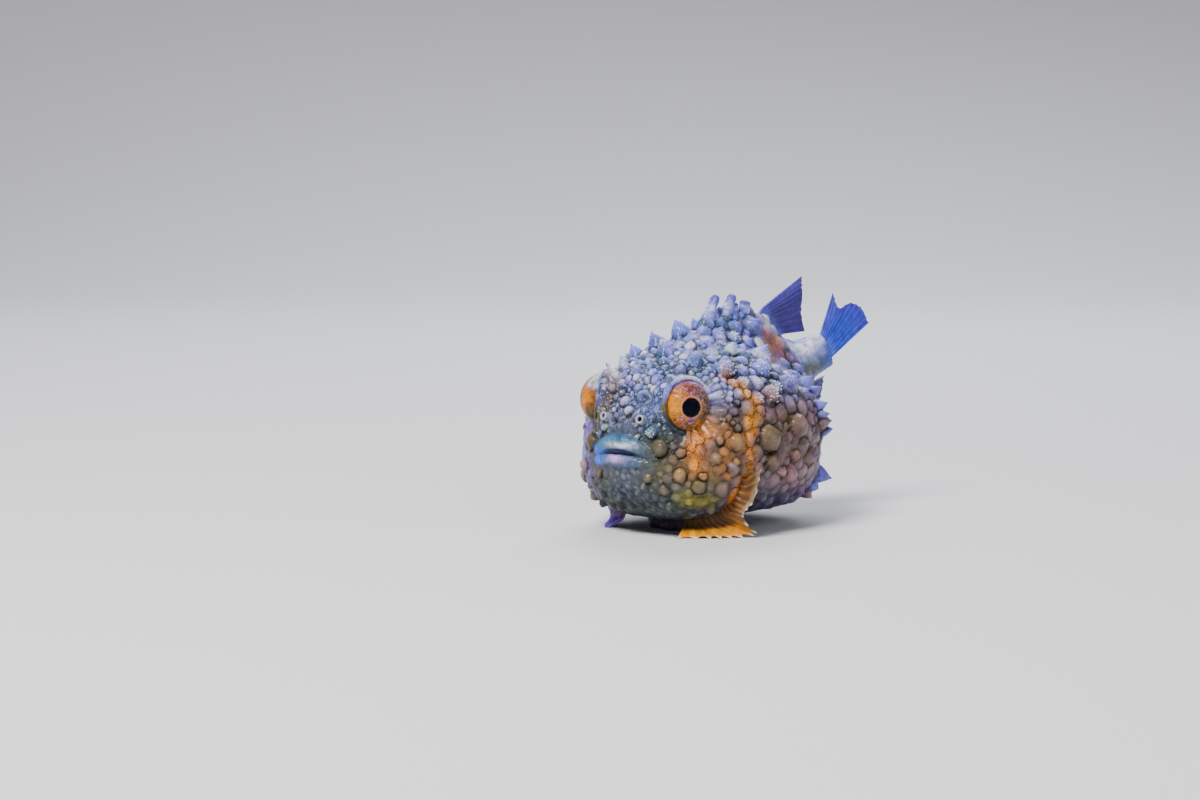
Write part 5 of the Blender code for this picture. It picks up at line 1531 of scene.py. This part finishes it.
def iris_tint(across, up, polar, far):
    """Iris colour round the gaze: named shades by direction, streaked and flecked, with a pink ring at the pupil, a
    blue painted reflection at the pupil's lower edge, a dark or lavender outer rim and the pupil itself. The far eye
    shows the photo only its side, banded from olive below through orange to pinkish white on top; its darker olive
    below is partly painted shade and its pinkish white top partly a painted highlight."""
    turn = np.degrees(np.arctan2(up, across))
    radial = np.stack([np.cos(np.radians(turn)) * 6, np.sin(np.radians(turn)) * 6, polar * 1.2], -1)
    where = np.stack([across, up, polar], -1)
    streak = octaves(radial, (0.5, 0.32, 41), (0.5, 0.15, 42))
    mottle = octaves(where, (0.5, 0.16, 43), (0.5, 0.07, 44))
    tint = banded(turn, IRIS_TURN, IRIS_SHADE) * (1 + 0.5 * streak + 0.4 * mottle)[:, None]
    plain = ramp(120.0, 165.0, np.abs(turn))
    tint = mix(tint, IRIS_FLECK, ramp(0.1, 0.4, noise(where, 0.06, 47)) * (0.75 - 0.6 * plain))
    tint = mix(tint, ORANGE, ramp(0.15, 0.45, noise(where, 0.08, 51)) * 0.35 * (1 - plain))
    tint = mix(tint, IRIS_PALE, ramp(0.36, 0.76, noise(where, 0.05, 45)) * (0.7 - 0.6 * plain))
    edge = polar + 0.012 * noise(radial, 0.5, 46)
    tint = mix(tint, IRIS_RING, bell(edge - PUPIL_TURN - 0.045, 0.045) * 0.8)
    tint = mix(tint, ORANGE, bell(across - 0.34, 0.13) * bell(up + 0.62, 0.09) * 0.8)
    # Painted reflection: a blue crescent at the pupil's lower edge
    tint = mix(tint, IRIS_MARK, bell(across - 0.02, 0.1) * bell(up + 0.44, 0.045) * 0.95)
    outer = ramp(1.0, 1.26, polar + 0.08 * noise(where, 0.3, 48))
    tint = mix(tint, IRIS_MAROON, outer * ramp(0.1, -0.8, across) * ramp(0.75, 0.3, up) * 0.9)
    tint = mix(tint, IRIS_PALE, outer * ramp(-0.3, 0.6, across * 0.7 + up) * 0.6)
    if far:
        # Far eye: darker below as partly painted shade, pinkish white on top as partly a painted highlight
        bands = banded(up + 0.08 * noise(where, 0.3, 50), FAR_SIDE_AT, FAR_SIDE_SHADE)
        bands = mix(bands, OLIVE * 0.7, ramp(1.1, 1.4, polar) * ramp(0.5, 0.3, up) * 0.8)
        bands = bands * (1 + 0.7 * mottle + 0.6 * noise(where, 0.22, 49))[:, None]
        bands = mix(bands, IRIS_FLECK, ramp(0.15, 0.5, noise(where, 0.07, 52)) * 0.5)
        tint = mix(tint, bands, ramp(0.75, 0.95, polar))
    return mix(tint, PUPIL, ramp(PUPIL_TURN + 0.02, PUPIL_TURN - 0.01, edge))


def ball_grid(centre, way, radius, rows, columns, dent=None):
    """A ball in rings round a direction; dent gives how far it is pressed in at each polar angle. Returns
    the points and faces, and each point's place across and up the ball and its polar angle."""
    one = unit(np.cross((0.0, 0.0, 1.0), way))
    p, turn = np.meshgrid(np.linspace(0, math.pi, rows + 2)[1:-1], circle(columns), indexing="ij")
    size = radius - (dent(p) if dent else 0 * p)
    across, up = np.sin(p) * np.cos(turn), np.sin(p) * np.sin(turn)
    flat = across[..., None] * one + up[..., None] * np.cross(way, one)
    rings = centre + (flat + np.cos(p)[..., None] * way) * size[..., None]
    depth = dent(np.zeros(1))[0] if dent else 0.0
    points, faces = capped_grid(rings, centre + way * (radius - depth), centre - way * radius)
    return points, faces, np.append(across, [0, 0]), np.append(up, [0, 0]), np.append(p, [0, math.pi])


def pupil_dent(polar):
    """The iris is pressed in towards its middle, and the pupil dished into it."""
    return 0.35 * ramp(PUPIL_TURN + 0.04, PUPIL_TURN - 0.1, polar) + 0.1 * ramp(1.0, 0.45, polar)


def build_eye(name, side, iris_finish, pupil_finish):
    """An iris ball with a pupil dished into it, under a clear ball."""
    way = eye_axis(side, GAZE_OUT, GAZE_UP)
    points, faces, across, up, polar = ball_grid(eye_centre(side), way, IRIS_RADIUS, *IRIS_GRID, pupil_dent)
    iris = make_piece("iris_" + name, points, faces, iris_tint(across * side, up, polar, side < 0))
    iris.data.materials.append(iris_finish)
    iris.data.materials.append(pupil_finish)
    within = polar[faces].max(1) < PUPIL_TURN + 0.01
    iris.data.polygons.foreach_set("material_index", within.astype(np.int32))
    points, faces, *_ = ball_grid(eye_centre(side), way, EYE_RADIUS, *CORNEA_GRID)
    return iris, make_piece("cornea_" + name, points, faces)


# Sucker

def build_sucker():
    """The disc: its profile turned round, scalloped at the rim, with papillae in rings; its colours are darkened as
    painted shade under the body, darkest between the papillae.
    """
    angle = circle(DISC_COLUMNS)
    profile = np.array(DISC_PROFILE)
    t = np.linspace(0, len(profile) - 1, DISC_ROWS)
    radius, height, wave = (np.interp(t, np.arange(len(profile)), profile[:, k]) for k in range(3))
    reach = radius[:, None] * (1 + DISC_SCALLOP * wave[:, None] * np.cos(angle * DISC_LOBES)[None])
    rings = np.stack([reach * np.cos(angle), DISC_Y + reach * np.sin(angle),
                      np.broadcast_to(height[:, None], reach.shape)], -1)
    flat = rings.reshape(-1, 3)
    places = papilla_places()
    share = nearest_knobs(flat * np.array([1, 1, 0.0]), places, np.full(len(places), PAPILLA_RADIUS))[1]
    bump = 0.22 * np.sqrt(np.clip(1 - share ** 2, 0, 1))
    under = np.repeat((t > 4.0) & (radius < 6.9), DISC_COLUMNS)
    flat[:, 2] = np.where(under, np.maximum(flat[:, 2] - bump, 0.03), flat[:, 2])
    points, faces = capped_grid(flat.reshape(rings.shape), (0, DISC_Y, 2.3), (0, DISC_Y, 1.1))
    tint = mix(DISC_DARK, DISC_PALE, np.append(ramp(1.0, 0.3, share), [0, 0]))
    return make_piece("sucker", points, faces, tint * (0.85 + 0.2 * noise(points, 0.7, 51))[:, None])


def papilla_places():
    """Papillae in rings under the disc."""
    return np.concatenate([spokes(circle(count), (radius, 0.0, 0.0), (0.0, radius, 0.0)) + (0.0, DISC_Y, 0.0)
                           for radius, count in PAPILLA_RINGS])


# Materials

# Shares and distances that a piece of skin gives for each point: how many painted glints and freckles it has, how far
# it lies from a knob's border, and how much painted shade lies in the furrow there
MASKS = ("Speckle", "Freckle", "Border", "Furrow")
# Wet finishes: strengths of grain and bump, weights of coat and scattered light, and True for a thin veil
WET_FINISHES = {
    "skin": (1.0, 0.8, 0.32, 0.03),
    "prickle": (0.3, 0.2, 0.3, 0.1),
    "sucker_pad": (0.6, 0.4, 0.2, 0.1),
    "tail_fin": (0.5, 0.3, 0.15, 0.1, True),
    "back_fin": (0.5, 0.3, 0.15, 0.1, True),
    "breast_fin": (0.5, 0.3, 0.15, 0.12),
}
# Scale of the pebbles and of the iris's fibres, and scale and detail of the broad, fine and spotted noises
PEBBLE_SCALE = 2300.0
FIBRE_SCALE = 5200.0
RELIEF_NOISES = ((900.0, 5.0), (4200.0, 3.0), (4800.0, 1.0))
BUMP_DEEP = 0.12
SCATTER_DEEP = 0.6


def node(tree, kind, inputs=None, **settings):
    """A new node with its settings and its inputs."""
    made = tree.nodes.new("ShaderNode" + kind)
    for key, value in settings.items():
        setattr(made, key, value)
    feed(tree, made, inputs or {})
    return made


def feed(tree, made, inputs):
    """Give a node's inputs, by name or number: another node's output is linked, a value is set."""
    for key, value in inputs.items():
        if isinstance(value, bpy.types.NodeSocket):
            tree.links.new(value, made.inputs[key])
        else:
            made.inputs[key].default_value = value


def maths(tree, operation, *values):
    """The result of a sum or product of outputs and numbers."""
    return node(tree, "Math", dict(enumerate(values)), operation=operation).outputs[0]


def stretch(tree, value, low, high, to_low=0.0, to_high=1.0):
    """A value mapped from one range to another and held at its ends."""
    return node(tree, "MapRange", {"Value": value, "From Min": low, "From Max": high, "To Min": to_low,
                                   "To Max": to_high}).outputs["Result"]


def scaled(tree, shade, factor):
    """A colour made darker or lighter by a factor."""
    return node(tree, "VectorMath", {0: shade, "Scale": factor}, operation="SCALE").outputs[0]


def blended(tree, share, shade, other):
    """A colour blended with a fixed one by a share."""
    return node(tree, "Mix", {"Factor": share, "A": shade, "B": (*other, 1.0)}, data_type="RGBA").outputs["Result"]


def attribute(tree, name, output="Fac"):
    """A piece's own attribute."""
    return node(tree, "Attribute", attribute_name=name).outputs[output]


def object_place(tree):
    """Object coordinates."""
    return node(tree, "TexCoord").outputs["Object"]


def relief_group():
    """Fine wet relief shared by the finishes: pebbles, wrinkles and the furrows round knobs as a height, and
    mottling, pale speckles painted as glints, freckles and painted shade in the furrows as a colour."""
    tree = bpy.data.node_groups.new("wet_relief", "ShaderNodeTree")
    for way, kind, names in (("INPUT", "Color", ("Colour",)), ("INPUT", "Float", ("Grain",) + MASKS),
                             ("OUTPUT", "Color", ("Colour",)), ("OUTPUT", "Float", ("Height", "Roughness"))):
        for name in names:
            tree.interface.new_socket(name, in_out=way, socket_type="NodeSocket" + kind)
    given = tree.nodes.new("NodeGroupInput").outputs
    where = object_place(tree)
    pebbles = node(tree, "TexVoronoi", {"Vector": where, "Scale": PEBBLE_SCALE}).outputs["Distance"]
    broad, fine, marks = (
        node(tree, "TexNoise", {"Vector": where, "Scale": scale, "Detail": detail}).outputs["Fac"]
        for scale, detail in RELIEF_NOISES)
    grain = maths(tree, "MULTIPLY", maths(tree, "MULTIPLY_ADD", pebbles, -0.9, fine), given["Grain"])
    # Painted shade along the furrows round the knobs, which also sinks them as a bump
    line = maths(tree, "MULTIPLY", stretch(tree, given["Border"], 0.22, 0.06), given["Furrow"])
    shade = scaled(tree, given["Colour"], stretch(tree, broad, 0.3, 0.7, 0.72, 1.28))
    # Pale speckles painted as glints
    dots = maths(tree, "MULTIPLY", stretch(tree, fine, 0.61, 0.68), given["Speckle"])
    shade = blended(tree, dots, shade, PALE)
    spots = maths(tree, "MULTIPLY", stretch(tree, marks, 0.56, 0.64), given["Freckle"])
    shade = blended(tree, spots, shade, BROWN_DARK)
    feed(tree, tree.nodes.new("NodeGroupOutput"), {
        "Colour": scaled(tree, shade, maths(tree, "MULTIPLY_ADD", line, -0.9, 1.0)),
        "Height": maths(tree, "MULTIPLY_ADD", line, -1.2, grain),
        "Roughness": stretch(tree, broad, 0.0, 1.0, 0.34, 0.6)})
    return tree


def new_finish(name):
    """A new material, its node tree and its surface shader."""
    material = bpy.data.materials.new(name)
    material.use_nodes = True
    return material, material.node_tree, material.node_tree.nodes["Principled BSDF"]


def wet_finish(name, relief, grain, bump, coat, scatter, veil=False):
    """A wet finish coloured by the piece's own tint, with relief from the shared group."""
    material, tree, shader = new_finish(name)
    inputs = {label: attribute(tree, label.lower()) for label in MASKS}
    inputs.update({"Colour": attribute(tree, "tint", "Color"), "Grain": grain})
    group = node(tree, "Group", node_tree=relief)
    feed(tree, group, inputs)
    height = {"Height": group.outputs["Height"], "Strength": bump, "Distance": BUMP_DEEP * MM}
    feed(tree, shader, {
        "Base Color": group.outputs["Colour"], "Roughness": group.outputs["Roughness"],
        "Normal": node(tree, "Bump", height).outputs["Normal"], "Coat Weight": coat, "Coat Roughness": 0.07,
        "Specular IOR Level": 0.15, "Subsurface Weight": scatter, "Subsurface Radius": (1.0, 0.6, 0.4),
        "Subsurface Scale": SCATTER_DEEP * MM})
    if veil:
        feed(tree, shader, {"Alpha": attribute(tree, "veil")})
    return material


def pupil_finish():
    """Deep blue-black with hardly any gloss of its own; the clear ball over it carries the highlights."""
    material, tree, shader = new_finish("pupil")
    feed(tree, shader, {"Base Color": attribute(tree, "tint", "Color"), "Roughness": 0.8, "Specular IOR Level": 0.05})
    return material


def iris_finish():
    """The iris in the piece's own colours, with fine fibres; the clear ball over it carries the gloss."""
    material, tree, shader = new_finish("iris")
    fibre = node(tree, "TexNoise", {"Vector": object_place(tree), "Scale": FIBRE_SCALE}).outputs["Fac"]
    shade = scaled(tree, attribute(tree, "tint", "Color"), stretch(tree, fibre, 0.0, 1.0, 0.7, 1.3))
    feed(tree, shader, {"Base Color": shade, "Roughness": 0.5, "Specular IOR Level": 0.2})
    return material


def plain_finish(name, shade, roughness, **more):
    """A surface of one colour."""
    material, tree, shader = new_finish(name)
    feed(tree, shader, {"Base Color": (*shade, 1.0), "Roughness": roughness, **more})
    return material


def dress(piece, material, slot, *nodes):
    """Give a piece its finish and its body, and hide the nodes that it stands for; its slot is not used."""
    if material:
        piece.data.materials.append(material)
    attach(piece, "root")
    if nodes:
        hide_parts(*nodes)
    return piece


# Stage

def build_stage():
    """Pale floor that curves up into a backdrop behind the fish, square to the camera."""
    bend = np.linspace(0.1, math.pi / 2, 12)
    depth = np.concatenate([np.linspace(-900, 500, 15), 500 + 400 * np.sin(bend), np.full(3, 900)])
    height = np.concatenate([np.zeros(15), 400 - 400 * np.cos(bend), (600, 900, 1300)])
    across, along = np.meshgrid(np.linspace(-1400, 1400, 3), depth)
    points = np.stack([across * math.cos(VIEW_AZIMUTH) - along * math.sin(VIEW_AZIMUTH),
                       across * math.sin(VIEW_AZIMUTH) + along * math.cos(VIEW_AZIMUTH),
                       np.repeat(height[:, None], 3, 1)], -1)
    mesh = bpy.data.meshes.new("studio_floor")
    mesh.from_pydata(place(points).tolist(), [], grid_faces(len(depth), 3, around=False)[:, ::-1].tolist())
    mesh.shade_smooth()
    mesh.materials.append(plain_finish("studio_paper", (0.82, 0.82, 0.84), 0.9))
    floor = bpy.data.objects.new("studio_floor", mesh)
    bpy.context.scene.collection.objects.link(floor)


def stand(thing, way, distance, aside=0.0):
    """Stand a lamp or camera off the fish along a direction and turn it upright towards the fish, or to
    the given distance aside of it."""
    offset = np.asarray(way) * distance
    thing.location = place(np.array(VIEW_MIDDLE) + offset)[0]
    level = unit(np.cross((0.0, 0.0, 1.0), way))
    back = unit(offset - level * aside)
    right = unit(np.cross((0.0, 0.0, 1.0), back))
    thing.rotation_euler = Matrix(np.stack([right, np.cross(back, right), back], -1).tolist()).to_euler()
    bpy.context.scene.collection.objects.link(thing)


def add_light(name, azimuth, rise, distance, size, power, shade):
    """A soft square light aimed at the fish."""
    data = bpy.data.lights.new(name, "AREA")
    data.size = size * MM
    data.energy = power
    data.color = shade
    stand(bpy.data.objects.new(name, data), heading(math.radians(azimuth), math.radians(rise)), distance)


def build_camera():
    """The photograph's viewing angle and framing."""
    data = bpy.data.cameras.new("camera")
    data.sensor_width = SENSOR
    data.lens = SENSOR * VIEW_DISTANCE / VIEW_WIDTH
    data.clip_start, data.clip_end = 0.01, 20.0
    camera = bpy.data.objects.new("camera", data)
    stand(camera, heading(VIEW_AZIMUTH, VIEW_RISE), VIEW_DISTANCE, VIEW_ASIDE)
    bpy.context.scene.camera = camera


def build_air():
    """Soft even light from all round."""
    world = bpy.data.worlds.new("studio_air")
    world.use_nodes = True
    feed(world.node_tree, world.node_tree.nodes["Background"], {"Color": AIR_COLOUR, "Strength": AIR_STRENGTH})
    bpy.context.scene.world = world


# The knobs of the skin: sites, feet, directions, sharpness and names of finishes
SITES, FEET, WAYS, SHARP, NAMES = all_knobs()


def build_fins(finish):
    """The rayed fins, each with its lines, colours, sheet, finish, slot and the node that it stands for."""
    fins = (
        ("tail_fin", tail_fin_lines(), tail_fin_shade, TAIL_SHEET, "tail_fin", "caudal_fin"),
        ("second_back_fin", midline_fin(**SOFT_DORSAL), back_fin_shade, SOFT_DORSAL_SHEET, "back_fin",
         "dorsal_fin_second"),
        ("anal_fin_sheet", midline_fin(**ANAL), anal_fin_shade, ANAL_SHEET, "back_fin", "anal_fin"),
        ("breast_fin_left", near_breast_lines(), near_breast_shade, BREAST_SHEET, "breast_fin", "pectoral_fin_left"),
        ("breast_fin_right", breast_fin_lines(-1), far_breast_shade, BREAST_SHEET, "breast_fin",
         "pectoral_fin_right"),
    )
    for name, lines, shade, sheet, slot, solid in fins:
        piece = fin_sheet(name, lines, shade, slot == "breast_fin", *sheet)
        dress(piece, finish[slot], slot, solid)


def build():
    """All pieces of the fish, then its stage, lights and camera."""
    relief = relief_group()
    finish = {name: wet_finish(name, relief, *values) for name, values in WET_FINISHES.items()}
    skin = finish["skin"]
    dress(build_skin(), skin, "skin", "head", "torso", "tail", "lip_upper", "lip_lower")
    dress(build_prickles(), finish["prickle"], "skin")
    dress(build_spiny_dorsal(), skin, "skin", "dorsal_fin_first")
    iris, pupil = iris_finish(), pupil_finish()
    cornea = plain_finish("cornea", (0.96, 0.98, 1.0), 0.02, **{"IOR": 1.12, "Transmission Weight": 1.0})
    for side, name in ((1, "left"), (-1, "right")):
        ball, clear = build_eye(name, side, iris, pupil)
        dress(ball, None, "eye", "eye_" + name)
        dress(clear, cornea, "eye")
        dress(build_lid("lid_" + name, side), skin, "skin")
        dress(build_nostril("nostril_" + name, side), skin, "skin")
    build_fins(finish)
    dress(build_sucker(), finish["sucker_pad"], "sucker", "sucker_disc")
    build_stage()
    build_air()
    for name, values in LIGHTS.items():
        add_light(name, *values)
    build_camera()


build()
